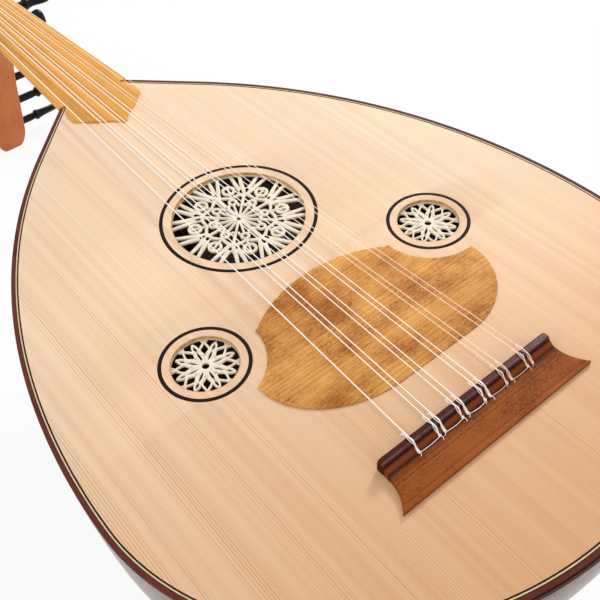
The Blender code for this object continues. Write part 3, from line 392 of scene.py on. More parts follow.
def paintedBoardShade(tree, place, color):
    # painted shade: the board is painted a little darker towards the tail
    reach = (home.y - paintedTailShade["start"], home.y - outline["bodyLength"])
    toTail = spread(tree, splitVector(tree, place)[1], *reach)
    return mixColor(tree, mathNode(tree, "MULTIPLY", toTail, paintedTailShade["share"]), color,
                    srgb(*paintedTailShade["color"]), "MULTIPLY")


acrossGrain = (0, 0, pi / 2)
alongPegbox = (1.36, 0, 0)
bowlFinish = dict(lines=170, mottle=0.8, pores=0.6, rough=(0.3, 0.42), coat=0.35)
walnutTones = ((112, 66, 40), (76, 40, 24), (42, 20, 12))
addWood("spruceWood", "spruce", (255, 228, 196), (250, 214, 178), (216, 168, 126), lines=820,
        lineStrength=1.0, mottle=0.45, pores=0.0, rough=(0.5, 0.6), shine=0.2, bump=0.1,
        paintedLight=paintedBoardShade)
addWood("guardWood", "golden_wood", (250, 190, 106), (200, 122, 54), (140, 78, 34), lines=380,
        lineStrength=0.55, mottle=0.35, figure=0.6, pores=0.7, turn=acrossGrain, rough=(0.62, 0.7),
        shine=0.12)
addWood("boardWood", "golden_wood", (246, 186, 90), (228, 158, 66), (164, 98, 40), lines=340,
        lineStrength=0.8, mottle=0.6, pores=0.25, rough=(0.45, 0.55), shine=0.25)
addWood("pegboxWood", "mahogany", (224, 134, 72), (204, 112, 54), (156, 78, 38), lines=240, lineStrength=0.12,
        mottle=0.7, figure=0.2, turn=alongPegbox, rough=(0.42, 0.52), coat=0.1, shine=0.2)
addWood("neckWood", "mahogany", (158, 88, 50), (124, 62, 34), (78, 36, 20), lines=220, lineStrength=0.3,
        mottle=0.7, pores=0.5, rough=(0.35, 0.5), coat=0.3)
addWood("bindingWood", "walnut", (120, 60, 46), (88, 40, 31), (54, 22, 16), lines=260, lineStrength=0.3,
        mottle=0.8, rough=(0.62, 0.7), shine=0.1)
addWood("claspWood", None, *walnutTones, lineStrength=0.45, turn=acrossGrain, **bowlFinish)
addWood("walnutWood", "walnut", *walnutTones, lineStrength=0.45, figure=0.2, followsPiece=True, **bowlFinish)
addWood("mahoganyWood", "mahogany", (168, 92, 52), (128, 62, 32), (80, 36, 18), lineStrength=0.4, figure=0.2,
        followsPiece=True, **bowlFinish)
addWood("braceWood", None, (232, 196, 154), (214, 172, 128), (180, 130, 86), lines=500, lineStrength=0.6,
        turn=acrossGrain, rough=(0.6, 0.75), shine=0.15)
addPlain("latticeWood", "rosette_cream", (252, 243, 224), (242, 228, 202), 300, (0.5, 0.65), 0.1, shine=0.2)
addPlain("holeWallWood", "spruce", (236, 192, 134), (190, 132, 78), 420, (0.5, 0.65), 0.1, shine=0.2)
addPlain("ebonyWood", "ebony", (15, 11, 11), (6, 5, 5), 350, (0.16, 0.24), 0.04, coat=0.2, shine=0.12)
addPlain("inlayWood", "ebony", (42, 27, 22), (24, 15, 12), 900, (0.5, 0.6), 0.05, shine=0.08)
addPlain("paleWood", "rosette_cream", (232, 206, 168), (212, 180, 136), 400, (0.45, 0.55), 0.05)
addPlain("boneFinish", "bone", (240, 232, 208), (226, 212, 182), 250, (0.28, 0.4), 0.05)
# the strings' glow is painted light
addPlain("whiteString", "white_string", (255, 252, 244), (244, 236, 224), 3000, (0.25, 0.4), 0.1, glow=0.12)
addPlain("clearString", "clear_string", (255, 238, 218), (244, 222, 200), 2000, (0.15, 0.25), 0.02,
         alpha=0.42, glow=0.2)
print("materials made")


# outline of the body, shared by the board, its edging and the bowl


def shoulderShape():
    keys = ("halfWidth", "widest", "straight", "jointHalf")
    halfWidth, widest, straight, jointHalf = (outline[key] for key in keys)
    angle = 2 * atan((halfWidth - jointHalf) / (widest + straight))
    radius = (widest - straight * cos(angle)) / sin(angle)
    return angle, radius


def halfEdge(flankSteps=40, tailSteps=44, straightSteps=6):
    angle, radius = shoulderShape()
    halfWidth, widest = outline["halfWidth"], outline["widest"]
    tail = outline["bodyLength"] - widest
    edge = []
    slant = Vector((cos(angle), sin(angle)))
    for step in range(straightSteps):
        along = outline["straight"] * step / straightSteps
        edge.append((Vector((outline["jointHalf"] + along * slant.y, -along * slant.x)), slant))
    for step in range(flankSteps):
        turn = angle * (1 - step / flankSteps)
        outward = Vector((cos(turn), sin(turn)))
        edge.append((Vector((halfWidth - radius, -widest)) + radius * outward, outward))
    for step in range(tailSteps + 1):
        edge.append(tailPoint(pi / 2 * step / tailSteps, halfWidth, widest, tail))
    return edge


def tailPoint(turn, halfWidth, widest, tail):
    point = Vector((halfWidth * cos(turn), -widest - tail * sin(turn)))
    outward = Vector((cos(turn) / halfWidth, -sin(turn) / tail)).normalized()
    return point, outward


def bodyLoop(inset):
    angle, radius = shoulderShape()
    points = [point - inset * outward for point, outward in halfEdge()]
    points[0] = Vector((outline["jointHalf"] - inset / cos(angle), -hair / 2))
    points[-1].x = 0.0
    right = [tuple(point) for point in points]
    return right + mirrored(right[:-1])


edging = dict(depth=2.0 * mm, holeLining=0.35 * mm, inlay=(-0.3 * mm, 0.06 * mm),
              strips=(("bindingBand", 2.3 * mm, "bindingWood", ("edge_binding",)),
                      ("purflingDark", 0.45 * mm, "inlayWood", ("purfling",)),
                      ("purflingPale", 0.75 * mm, "paleWood", ()),
                      ("purflingBlack", 0.9 * mm, "inlayWood", ())))


def edgeStrip(name, outerInset, width, finish, replaced):
    low = -edging["depth"]
    rings = []
    for outer, inner in zip(bodyLoop(outerInset), bodyLoop(outerInset + width)):
        rings.append([at(*outer, low), at(*outer), at(*inner), at(*inner, low)])
    skin(name, rings, finish, replaced=replaced)


def makeBoard():
    low, lining = -edging["depth"], edging["holeLining"]
    loops = [bodyLoop(sum(width for name, width, finish, replaced in edging["strips"]))]
    loops += [circle(one["center"], one["hole"] + lining, 128) for one in rosettes.values()]
    flatPiece("soundboardFace", loops, low, 0.0, "spruceWood", edge=0.12 * mm, replaced=("soundboard",))
    start = 0.0
    for name, width, finish, replaced in edging["strips"]:
        edgeStrip(name, start, width, finish, replaced)
        start += width
    for key, one in rosettes.items():
        center, hole, ring = one["center"], one["hole"], one["ring"]
        wall = [circle(center, radius, 128) for radius in (hole + lining, hole)]
        flatPiece(key + "HoleLining", wall, low, -0.05 * mm, "holeWallWood", edge=0.05 * mm)
        band = [circle(center, radius, 128) for radius in (ring, ring - one["ringWidth"])]
        flatPiece(key + "RingInlay", band, *edging["inlay"], "inlayWood", edge=0.02 * mm)


makeBoard()
print("board made")


# bowl: bent staves, nearly flat across, with a narrow joint line between them

bowl = dict(count=13, thick=3 * mm, endHalf=16 * mm, room=0.1 * mm, roundness=0.4, across=4, tailSteps=34,
            tuck=0.62, tuckReach=80 * mm)


def sideAngle():
    return acos(1 / (1 + outline["sideBulge"] / outline["halfWidth"]))


def bowlPoint(edge, outward, turn, offset):
    side = sideAngle()
    sideScale = 1 / cos(side)
    depthShare = outline["bowlDepth"] / outline["halfWidth"] / (1 + sin(side))
    # near the neck the sides slant in under the rim
    tuck = bowl["tuck"] * min(1.0, max(0.0, 1 + edge.y / bowl["tuckReach"]))
    fullDrop = 1 + sin(side)
    share = (sin(turn) + sin(side)) / fullDrop
    narrow = 1 - tuck * share * (1 - share)
    shape = Vector((sideScale * cos(turn) * narrow, -depthShare * fullDrop * share))
    sink = sin(turn) * narrow + tuck * cos(turn) ** 2 * (1 - 2 * share) / fullDrop
    normal = Vector((depthShare * cos(turn), -sideScale * sink)).normalized()
    lean = Vector((normal.x * outward.x, outward.y * shape.dot(normal), normal.y * outward.x)).normalized()
    return at(edge.x * shape.x, edge.y, -outline["rimDrop"] + edge.x * shape.y) + offset * lean


def bowlStations():
    last = acos(bowl["endHalf"] / outline["halfWidth"])
    widest = outline["widest"]
    tail = (outline["halfWidth"], widest, outline["bodyLength"] - widest)
    steps = bowl["tailSteps"]
    stations = halfEdge(flankSteps=36, straightSteps=5)[:41]
    return stations + [tailPoint(last * step / steps, *tail) for step in range(steps + 1)]


def staveSide(number, stations, offset):
    # rows of points across one face of a stave, and the grain's place at each
    sweep = (pi + 2 * sideAngle()) / bowl["count"]
    first = sweep * number - sideAngle()
    columns = range(bowl["across"] + 1)
    rows, places = [], []
    along = 0.0
    for edge, outward in stations:
        room = bowl["room"] / edge.x
        ends = [bowlPoint(edge, outward, turn, offset) for turn in (first + room, first + sweep - room)]
        row = []
        for column in columns:
            share = column / bowl["across"]
            turn = first + room + (sweep - 2 * room) * share
            bent = bowlPoint(edge, outward, turn, offset)
            point = ends[0].lerp(ends[1], share).lerp(bent, bowl["roundness"])
            point.z = min(point.z, home.z - outline["rimDrop"])
            if not rows:
                point.y = home.y - hair / 2
            row.append(point)
        if rows:
            along += (row[0] - rows[-1][0]).length
        rows.append(row)
        width = (ends[1] - ends[0]).length / bowl["across"]
        places.append([(0.37 * number + width * column, along, 0.1 * number) for column in columns])
    return rows, places


def makeStave(number, stations):
    # both faces are joined to rings round the stave; the inner quads are turned to split like the outer
    joined = []
    for outer, inner in zip(*(staveSide(number, stations, offset) for offset in (0.0, -bowl["thick"]))):
        joined.append([near + far[::-1] for near, far in zip(outer, inner)])
    rings, places = joined
    inside = range(bowl["across"] + 1, 2 * bowl["across"] + 1)
    skin(f"bowlStave{number + 1}", rings, "mahoganyWood" if number % 2 else "walnutWood",
         [place for ring in places for place in ring], inside, smoothAngle=25,
         replaced=(f"stave_{number + 1:02d}",))


for number in range(bowl["count"]):
    makeStave(number, bowlStations())
print("bowl made")


# rosettes: each lattice is laid from straps and discs at almost one height, right under the board

lattice = dict(drop=2.3 * mm, thick=1.5 * mm, step=0.03 * mm, soft=0.2 * mm, softShare=0.72,
               rim=(4.3 * mm, 0.1 * mm))


def strapRings(points, width, endWidth, closed, low, high):
    rings = []
    count = len(points)
    for index, (x, y) in enumerate(points):
        before = points[(index - 1) % count if closed else max(index - 1, 0)]
        after = points[(index + 1) % count if closed else min(index + 1, count - 1)]
        along = Vector((after[0] - before[0], after[1] - before[1])).normalized()
        side = Vector((-along.y, along.x)) * (width + (endWidth - width) * index / (count - 1)) / 2
        flat, shoulder = side * lattice["softShare"], high - lattice["soft"]
        ring = []
        for reach, height in ((side, low), (side, shoulder), (flat, high), (-flat, high), (-side, shoulder),
                              (-side, low)):
            ring.append(at(x + reach.x, y + reach.y, height))
        rings.append(ring)
    return rings + rings[:1] if closed else rings


smallRosette = dict(
    turn=-9, hub=(4.6 * mm, 2.2 * mm), strap=1.12 * mm, spike=((16.9, 0.3), (19.6, 2.0)),
    petal=((4.0, 0.75), (6.6, 1.3), (9.2, 1.3), (11.7, 0.75), (13.6, 1.45), (15.6, 1.15), (17.9, 0.0)),
    diamond=((7.6, 0.1), (9.4, 1.3), (11.7, 2.75), (13.8, 2.3), (15.7, 1.2), (17.8, 0.0)),
    bars=(((4.0, 8.6), 1.25 * mm), ((17.0, 20.4), 1.12 * mm)))
largeRosette = dict(
    hub=(4.2 * mm, 1.7 * mm), spoke=((3.4, 14.0), 1.5 * mm), stem=((13.0, 24.5), 1.9 * mm),
    node=(27.0 * mm, 4.2 * mm),
    loops=((17.3 * mm, 2.4 * mm, 24, 1.8 * mm), (29.5 * mm, 3.85 * mm, 28, 1.95 * mm)),
    bars=(((26.0, 33.0), 1.275 * mm), ((19.6, 25.6), 1.5 * mm)),
    # bent straps beside each stem: path, first and last width
    bends=((((26.5, 0.3), (35.0, 3.6), (44.9, 6.6)), 3.515 * mm, 1.995 * mm),
           (((25.5, 1.5), (30.0, 4.8), (35.0, 8.0), (40.0, 11.0), (44.9, 14.6)), 3.23 * mm, 1.805 * mm),
           (((25.5, 1.0), (23.6, 3.6), (21.6, 6.2), (19.9, 7.6)), 2.47 * mm, 1.615 * mm),
           (((13.0, 1.5), (15.4, 3.4)), 1.52 * mm, 1.52 * mm)))


def aroundCenter(center, points, degrees, side=1):
    # points given as distances along and across an axis, in millimetres, turned round the centre
    angle = radians(degrees)
    cosine, sine = cos(angle), sin(angle)
    return [(center[0] + (along * cosine - side * across * sine) * mm,
             center[1] + (along * sine + side * across * cosine) * mm) for along, across in points]


def bar(center, ends, width, degrees):
    return aroundCenter(center, [(end, 0.0) for end in ends], degrees), width, width, False


def loop(center, radius, steps, width):
    return circle(center, radius, steps), width, width, True


def disc(center, radius, hole, steps):
    return loop(center, (radius + hole) / 2, steps, radius - hole)


def smallStraps(center):
    sizes = smallRosette
    straps = [disc(center, *sizes["hub"], 40)]
    for number in range(8):
        toPetal = sizes["turn"] + 45 * number
        between = toPetal + 22.5
        for side in (-1, 1):
            for points, degrees, share in ((smoothPath(sizes["petal"], 4), toPetal, 1),
                                           (smoothPath(sizes["diamond"], 4), between, 1),
                                           (sizes["spike"], between, 0.8)):
                width = share * sizes["strap"]
                straps.append((aroundCenter(center, points, degrees, side), width, width, False))
        straps += [bar(center, ends, width, between) for ends, width in sizes["bars"]]
    return straps


def largeStraps(center):
    sizes = largeRosette
    straps = [disc(center, *sizes["hub"], 40)]
    straps += [bar(center, *sizes["spoke"], 22.5 * number) for number in range(16)]
    for number in range(8):
        toNode = 45 * number
        between = toNode + 22.5
        straps.append(bar(center, *sizes["stem"], toNode))
        reach, radius = sizes["node"]
        straps.append(disc(polar(center, reach, radians(toNode)), radius, 0.0, 20))
        for reach, *shape in sizes["loops"]:
            straps.append(loop(polar(center, reach, radians(between)), *shape))
        straps += [bar(center, ends, width, between) for ends, width in sizes["bars"]]
        for side in (-1, 1):
            for path, start, end in sizes["bends"]:
                route = aroundCenter(center, smoothPath(path, 4), toNode, side)
                straps.append((route, start, end, False))
    return straps


def makeRosettes():
    # neighbouring straps lie at slightly different heights, so that none share a face
    high = -lattice["drop"]
    low = high - lattice["thick"]
    for key, one in rosettes.items():
        build = bmesh.new()
        straps = (largeStraps if key == "large" else smallStraps)(one["center"])
        for number, (points, start, end, closed) in enumerate(straps, 1):
            rings = strapRings(points, start, end, closed, low, high - number % 5 * lattice["step"])
            joinRings(build, rings, not closed)
        name = key + "Lattice"
        newObject(name, toMesh(name, build), "latticeWood", 50, replaced=(key + "_rosette",))
        rim = [circle(one["center"], one["hole"] + extra, 96) for extra in lattice["rim"]]
        flatPiece(key + "RosetteRim", rim, low, high, "latticeWood")


makeRosettes()
print("rosettes made")


# pickguard

guard = dict(top=261.5 * mm, shoulderX=50.5 * mm, shoulderDrop=15.5 * mm, hollow=35.2 * mm,
             length=97.5 * mm, treble=dict(sideX=89.5 * mm, round=(48 * mm, 44 * mm)),
             bass=dict(sideX=75.4 * mm, round=(62 * mm, 46 * mm)), low=0.3 * mm, high=0.9 * mm)


def guardSide(side):
    top = -guard["top"]
    shoulder = (guard["shoulderX"], top - guard["shoulderDrop"])
    crown = (shoulder[0] ** 2 + guard["shoulderDrop"] ** 2) / (2 * guard["shoulderDrop"])
    points = arc((0, top - crown), crown, pi / 2, pi / 2 - asin(shoulder[0] / crown), 20)
    small = rosettes["treble"]["center"]
    hornDrop = sqrt(guard["hollow"] ** 2 - (side["sideX"] - small[0]) ** 2)
    first = atan2(shoulder[1] - small[1], shoulder[0] - small[0]) % tau
    last = atan2(-hornDrop, side["sideX"] - small[0]) % tau
    points += arc(small, guard["hollow"], first, last, 24)
    across, along = side["round"]
    center = (side["sideX"] - across, top - guard["length"] + along)
    quarter = arc((0, 0), 1, 0, -pi / 2, 24)
    return points + [(center[0] + across * x, center[1] + along * y) for x, y in quarter]


def makeGuard():
    leaf = guardSide(guard["treble"]) + mirrored(guardSide(guard["bass"])[1:])
    flatPiece("pickguardLeaf", [leaf], guard["low"], guard["high"], "guardWood", replaced=("pickguard",))


makeGuard()


# bridge: bar with a sloping back, flared skirt, dark rounded cap

bridge = dict(front=-390 * mm, barWidth=8.5 * mm, halfLength=61.7 * mm, baseHeight=6.8 * mm,
              capWidth=5.2 * mm, capHeight=2.0 * mm, capRound=1.5 * mm, skirtWidth=19 * mm,
              skirtHeight=4.0 * mm, skirtEdge=2.4 * mm, skirtSteps=24, flare=8.2 * mm, flarePower=2.2,
              low=0.3 * mm, soft=0.5 * mm, slope=(0.15, 0.55, 0.82, 0.95),
              capEnds=((0, 0.62), (0.25 * mm, 0.84), (0.7 * mm, 0.95), (1.4 * mm, 1.0)))
bridgeTop = 2 * hair + bridge["baseHeight"] + bridge["capHeight"]
capBack = bridge["front"] - bridge["capWidth"]
bridgeBack = bridge["front"] - bridge["barWidth"]


def bridgePaintedShade(tree, place, color):
    # painted shade: the bar's sloping back is painted darker, most right behind the cap, with a painted
    # contact shadow where it meets the skirt and a soft painted shadow of the bar spreading onto the skirt
    y = splitVector(tree, place)[1]
    foot, top = home.y + bridgeBack, home.y + capBack
    away = mathNode(tree, "ABSOLUTE", mathNode(tree, "SUBTRACT", y, foot - 0.3 * mm))
    # under: the soft painted shadow that the bar casts onto the skirt
    under = (spread(tree, y, foot - 6 * mm, foot), spread(tree, y, foot + 0.3 * mm, foot))
    under = mathNode(tree, "MULTIPLY", *under)
    # in turn: painted shade on the bar's back, painted shade right behind the cap, the painted contact shadow
    # at the foot, the painted shadow on the skirt
    for mask, tone in ((spread(tree, y, foot - 0.2 * mm, foot + 0.4 * mm), (138, 70, 30)),
                       (spread(tree, y, top - 0.9 * mm, top - 0.1 * mm), (66, 30, 22)),
                       (spread(tree, away, 1.5 * mm, 0.1 * mm), (58, 27, 17)),
                       (mathNode(tree, "MULTIPLY", under, 0.6), (74, 33, 18))):
        color = mixColor(tree, mask, color, srgb(*tone))
    return color


def capPaintedHighlight(tree, place, color):
    # painted highlight: a lighter band along the cap's back edge, broken up by noise
    highlightY = home.y + capBack + 1.3 * mm
    away = mathNode(tree, "ABSOLUTE", mathNode(tree, "SUBTRACT", splitVector(tree, place)[1], highlightY))
    band = spread(tree, away, 0.9 * mm, 0.1 * mm)
    broken = spread(tree, noiseNode(tree, place, 300), 0.3, 0.6, 0.25, 0.75)
    return mixColor(tree, mathNode(tree, "MULTIPLY", band, broken), color, srgb(124, 92, 90))


addWood("bridgeWood", "mahogany", (184, 104, 48), (160, 84, 36), (92, 44, 20), lines=420, lineStrength=0.6,
        mottle=0.8, figure=0.3, pores=0.8, turn=acrossGrain, rough=(0.66, 0.74), shine=0.1,
        paintedLight=bridgePaintedShade)
addWood("darkWood", "rosewood", (92, 34, 22), (60, 21, 14), (30, 11, 8), lines=300, lineStrength=0.4,
        mottle=0.8, pores=0.5, turn=acrossGrain, rough=(0.36, 0.44), coat=0.06, coatRough=0.25, shine=0.12,
        paintedLight=capPaintedHighlight)


def makeBridge():
    low, half, soft, height = (bridge[key] for key in ("low", "halfLength", "soft", "baseHeight"))
    front, skirt, slope = bridge["front"], bridge["skirtHeight"], height - bridge["skirtHeight"]
    rows = [(front, half - 0.4 * soft, height), (front - 0.4 * soft, half, height), (capBack, half, height)]
    for share in bridge["slope"]:
        rows.append((capBack + (bridgeBack - capBack) * share, half, height - slope * share**0.9))
    for step in range(1, bridge["skirtSteps"] + 1):
        share = step / bridge["skirtSteps"]
        reach = half + bridge["flare"] * share ** bridge["flarePower"]
        top = skirt + (bridge["skirtEdge"] - skirt) * share
        rows.append((bridgeBack - bridge["skirtWidth"] * share, reach, top))
    rings = []
    for y, reach, top in rows:
        bevel = 0.3 * soft
        side = [(reach - soft, top), (reach - bevel, top - bevel), (reach, top - soft), (reach, 0.0)]
        rings.append([at(x, y, low + z) for x, z in mirrored(side) + side])
    skin("bridgeBase", rings, "bridgeWood", smoothAngle=40, replaced=("bridge",))
    bottom, bend, middle = low + height + hair, bridge["capRound"], (front + capBack) / 2
    profile = [(front, bottom), *arc((front - bend, bridgeTop - bend), bend, 0, pi / 2, 8),
               *arc((capBack + bend, bridgeTop - bend), bend, pi / 2, pi, 8), (capBack, bottom)]
    rings = []
    for inset, share in bridge["capEnds"]:
        rings.append([at(inset - half, middle + (y - middle) * share, bottom + (z - bottom) * share)
                      for y, z in profile])
    rings += [[Vector((-point.x, point.y, point.z)) for point in ring] for ring in reversed(rings)]
    skin("bridgeCapBar", rings, "darkWood", smoothAngle=50, replaced=("bridge_cap",))


makeBridge()


# strings tied at the bridge: two twisted strands over the cap, a noose in front and a knot behind

courses = dict(bridgeSpacing=16.6 * mm, bridgePair=3.8 * mm, radii=(0.42, 0.38, 0.36, 0.34, 0.35, 0.32),
               bassCount=4, finishes=dict(bass="whiteString", treble="clearString"))
# the route is in millimetres from the bridge's front edge and the cap's top
tie = dict(thread=0.2 * mm, swing=0.86 * mm, lift=0.15 * mm, twists=1.1, lean=0.5 * mm, narrowing=(0.7, 0.6),
           route=((3.0, -0.3), (2.0, 0.0), (0.8, 0.3), (-1.0, 0.44), (-3.0, 0.46), (-4.6, 0.2), (-5.6, -0.8),
                  (-7.0, -2.3), (-8.4, -3.75), (-9.1, -4.55)),
           noose=dict(spot=(-0.2 * mm, 3.0 * mm, 0.2 * mm), turns=1.35, steps=21, drift=-1.5 * mm,
                      radii=(0.95 * mm, 0.0, 0.55 * mm)),
           knot=dict(spot=(0.0, -8.7 * mm, -3.7 * mm), turns=2, steps=25, drift=-0.4 * mm,
                     radii=(0.7 * mm, 0.42 * mm, 0.4 * mm)),
           bows=(0.1, 0.3, 0.7, 0.3, 0.2), gaps=(2.2, 4.6, 4.6, 4.6, 4.6))


def stringPlaces():
    places = []
    for course, radius in enumerate(courses["radii"]):
        middle = course - (len(courses["radii"]) - 1) / 2
        for letter, side in (("a", -0.5), ("b", 0.5)) if course else (("", 0.0),):
            places.append(dict(name=f"string_{course + 1}{letter}", course=course, radius=radius * mm,
                               kind="bass" if course < courses["bassCount"] else "treble",
                               x=middle * courses["bridgeSpacing"] + side * courses["bridgePair"]))
    return places


def wound(x, phase, how):
    # thread wound round itself, moving on along the string
    points = []
    overX, overY, overZ = how["spot"]
    for step in range(how["steps"] + 1):
        share = step / how["steps"]
        turn = phase + tau * how["turns"] * share
        wideX, wideY, wideZ = how["radii"]
        points.append(at(x + overX + wideX * cos(turn),
                         bridge["front"] + overY + how["drift"] * share + wideY * sin(turn),
                         bridgeTop + overZ + wideZ * sin(turn)))
    return points


def tieRoutes(place, number):
    x, phase = place["x"], number * 1.7
    spine = smoothPath(tie["route"], 4)
    start, loss = tie["narrowing"]
    routes = []
    for strand in (0, pi):
        points = []
        for index, (y, z) in enumerate(spine):
            share = index / (len(spine) - 1)
            swing = phase + strand + tau * tie["twists"] * share
            narrow = 1 - loss * max(0.0, share - start) / (1 - start)
            across = tie["swing"] * cos(swing) * narrow - tie["lean"] * (1 - share)
            lift = tie["lift"] * (1 + sin(swing))
            points.append(at(x + across, bridge["front"] + y * mm, bridgeTop + z * mm + lift))
        routes.append(points)
    return routes + [wound(x, phase, tie["noose"]), wound(x, phase, tie["knot"])] + tailRoutes(place, number)


def tailRoutes(place, number):
    # each pair's long end runs on to the next knot; the rest are cut short
    x, foot = place["x"], bridge["low"] + bridge["skirtHeight"] + 0.45 * mm
    knotY = bridge["front"] + tie["knot"]["spot"][1]
    routes = []
    if place["name"].endswith("a"):
        reach = courses["bridgeSpacing"] - tie["gaps"][place["course"] - 1] * mm
        bow = tie["bows"][place["course"] - 1] * mm
        points = []
        for step in range(17):
            share = step / 16
            y = knotY - 0.7 * mm - bow * sin(pi * share**0.8)
            points.append(at(x - reach * share, y, foot + 1.1 * mm * (1 - share) ** 3 + 0.6 * mm * share**4))
        routes.append(points)
    lean = sin(number * 2.4)
    end = (x + (1.1 * lean - 0.5) * mm, knotY - (2.4 + 0.8 * lean) * mm, foot + 0.05 * mm)
    start = (x, knotY - 0.6 * mm, foot + 1.0 * mm)
    middle = ((start[0] + end[0]) / 2 + 0.5 * mm, (start[1] + end[1]) / 2, foot + 0.9 * mm)
    return routes + [[at(*point) for point in (start, middle, end)]]


def makeTies():
    places = stringPlaces()
    for kind, finish in courses["finishes"].items():
        routes = []
        for number, place in enumerate(places):
            if place["kind"] == kind:
                routes += tieRoutes(place, number)
        tube(kind + "Ties", routes, tie["thread"], finish)


makeTies()
print("bridge, pickguard and ties made")


# neck and fingerboard

neck = dict(length=195 * mm, nutHalf=21 * mm, boardHigh=1.3 * mm, tongueThick=1.0 * mm, baseLow=-2.0 * mm,
            # from the joint's inlaid root round the swelling corner along the ogee to the point
            tongue=((23.5, 0.0), (26.6, -5.0), (28.6, -11.0), (29.4, -17.0), (29.2, -22.0), (27.8, -24.9),
                    (25.2, -26.9), (17.6, -34.3), (10.7, -39.6), (6.3, -42.9), (3.0, -46.9), (0.0, -50.5)))


def makeFingerboard():
    tongue = [(x * mm, y * mm) for x, y in smoothPath(neck["tongue"], 4)]
    sides = [(neck["nutHalf"], neck["length"]), (outline["jointHalf"], hair / 2)]
    right = sides + [(tongue[0][0], hair / 2)] + tongue[1:]
    face = right + mirrored(right[:-1])
    under = neck["boardHigh"] - neck["tongueThick"]
    flatPiece("fingerboardFace", [face], under, neck["boardHigh"], "boardWood", replaced=("fingerboard",))
    base = sides + mirrored(sides)
    flatPiece("fingerboardBase", [base], neck["baseLow"], under, "boardWood", edge=0.02 * mm)


makeFingerboard()
print("fingerboard made")


# pegs, turned and then flattened to a wing, and the string's coils on them

# grooves: distance from the collar, radius; wing: share of the head's length, half width, half thickness
peg = dict(collar=2.8 * mm, head=22.5 * mm, shaft=(3.4, 4.0), taperReach=40 * mm, sides=40,
           grooves=((-5.0, 3.95), (-4.7, 3.5), (-4.2, 3.45), (-3.9, 3.9), (-3.1, 3.95), (-2.8, 3.5),
                    (-2.1, 3.45), (-1.7, 3.8), (-1.3, 4.0), (-0.9, 4.2), (-0.2, 5.2), (0.25, 5.55),
                    (1.4, 5.6), (2.4, 5.55), (2.75, 5.2)),
           wing=((0.04, 4.95, 4.95), (0.09, 4.8, 4.75), (0.16, 4.6, 4.45), (0.22, 4.6, 4.25),
                 (0.34, 5.8, 4.05), (0.46, 7.6, 3.95), (0.58, 8.75, 3.9), (0.70, 9.15, 3.9),
                 (0.80, 9.1, 3.85), (0.88, 8.2, 3.6), (0.94, 7.0, 3.1), (0.98, 5.4, 2.2), (1.0, 3.6, 1.2)),
           lastTurn=-32.4, turnStep=57, count=11)
coil = dict(turns=4, steps=22, pitch=2.15, sunk=(0.2, 2.2), wall=0.6 * mm, cheek=(1.6 * mm, 5.0 * mm),
            cheekTaper=60 * mm, firstAlong=22 * mm, spacing=15.6 * mm, leadSteps=8, leadTurn=80)


def shaftRadius(sideX):
    thin, wide = peg["shaft"]
    return (thin + (wide - thin) * (sideX + peg["taperReach"]) / (2 * peg["taperReach"])) * mm


def pegAxes():
    # name, head side, axis point, half width of the pegbox there, x of the head's end
    axes = []
    for number in range(peg["count"]):
        side = -1 if number % 2 else 1
        name = f"{'bass' if number % 2 else 'treble'}_peg_{number // 2 + 1}"
        joint = next(row for row in frame["joints"] if row["name"] == name + "_turn")
        near, far = sorted(side * corner.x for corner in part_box(name))
        axes.append((number, name, side, Vector(joint["pos_m"]), -near, far))
    return axes


def makePeg(number, name, side, center, width, end):
    headStart = end - peg["head"]
    collar = headStart - peg["collar"]
    stations = [(-width, 0.8 * shaftRadius(-width)), (0.4 * mm - width, shaftRadius(-width)),
                (collar - 6 * mm, shaftRadius(collar))]
    stations += [(collar + x * mm, radius * mm) for x, radius in peg["grooves"]]
    stations = [(x, radius, radius) for x, radius in stations]
    wing = smoothPath(peg["wing"], 3)
    stations += [(headStart + share * peg["head"], wide * mm, thick * mm) for share, wide, thick in wing]
    turn = radians(peg["lastTurn"] + peg["turnStep"] * (peg["count"] - 1 - number))
    rings = []
    for x, wide, thick in stations:
        ring = []
        for along, across in circle((0, 0), 1, peg["sides"]):
            along, across = wide * along, thick * across
            y = along * cos(turn) - across * sin(turn)
            z = along * sin(turn) + across * cos(turn)
            ring.append(Vector((side * x, center.y + y, center.z + z)))
        rings.append(ring)
    skin(name + "Turned", rings, "ebonyWood", smoothAngle=40, body=name + "_body", replaced=(name,))


def stringEnd(name, center):
    # middle of the string's last ring, which lies close behind the peg's shaft
    near = []
    for vertex in frame["nodes"][name].data.vertices:
        away = Vector((vertex.co.y - center.y, vertex.co.z - center.z))
        if away.length < 6 * mm:
            near.append(vertex.co)
    middle = sum(near, Vector()) / len(near)
    return middle.x, atan2(middle.z - center.z, middle.y - center.y), (middle.yz - center.yz).length


def makeCoil(number, name, side, center, width, place):
    x, start, reach = stringEnd(place["name"], center)
    radius, finish = place["radius"], courses["finishes"][place["kind"]]
    thin, thick = coil["cheek"]
    along = coil["firstAlong"] + coil["spacing"] * number
    wall = width - thin - (thick - thin) * min(1.0, along / coil["cheekTaper"]) - coil["wall"]
    pitch = coil["pitch"] * radius
    turns = max(1.0, min(coil["turns"], (wall - side * x) / pitch - 0.5))
    lastPart, depth = coil["sunk"]  # the coil's end dips into the shaft

    def spot(turn, across, distance):
        return Vector((across, center.y + distance * cos(turn), center.z + distance * sin(turn)))

    points = []
    count = round(coil["steps"] * turns)
    for step in range(count + 1):
        share = step / count
        across = x + side * pitch * turns * share
        sunk = max(0.0, share * turns - turns + lastPart) / lastPart
        distance = shaftRadius(side * across) + radius * (1 - depth * sunk)
        points.append(spot(start + tau * turns * share, across, distance))
    tube(name + "Coil", [points], radius, finish, body=name + "_body")
    lead = []
    for step in range(coil["leadSteps"] + 1):
        share = step / coil["leadSteps"]
        distance = reach + (shaftRadius(side * x) + radius - reach) * share
        lead.append(spot(start + radians(coil["leadTurn"]) * share, x, distance))
    return lead


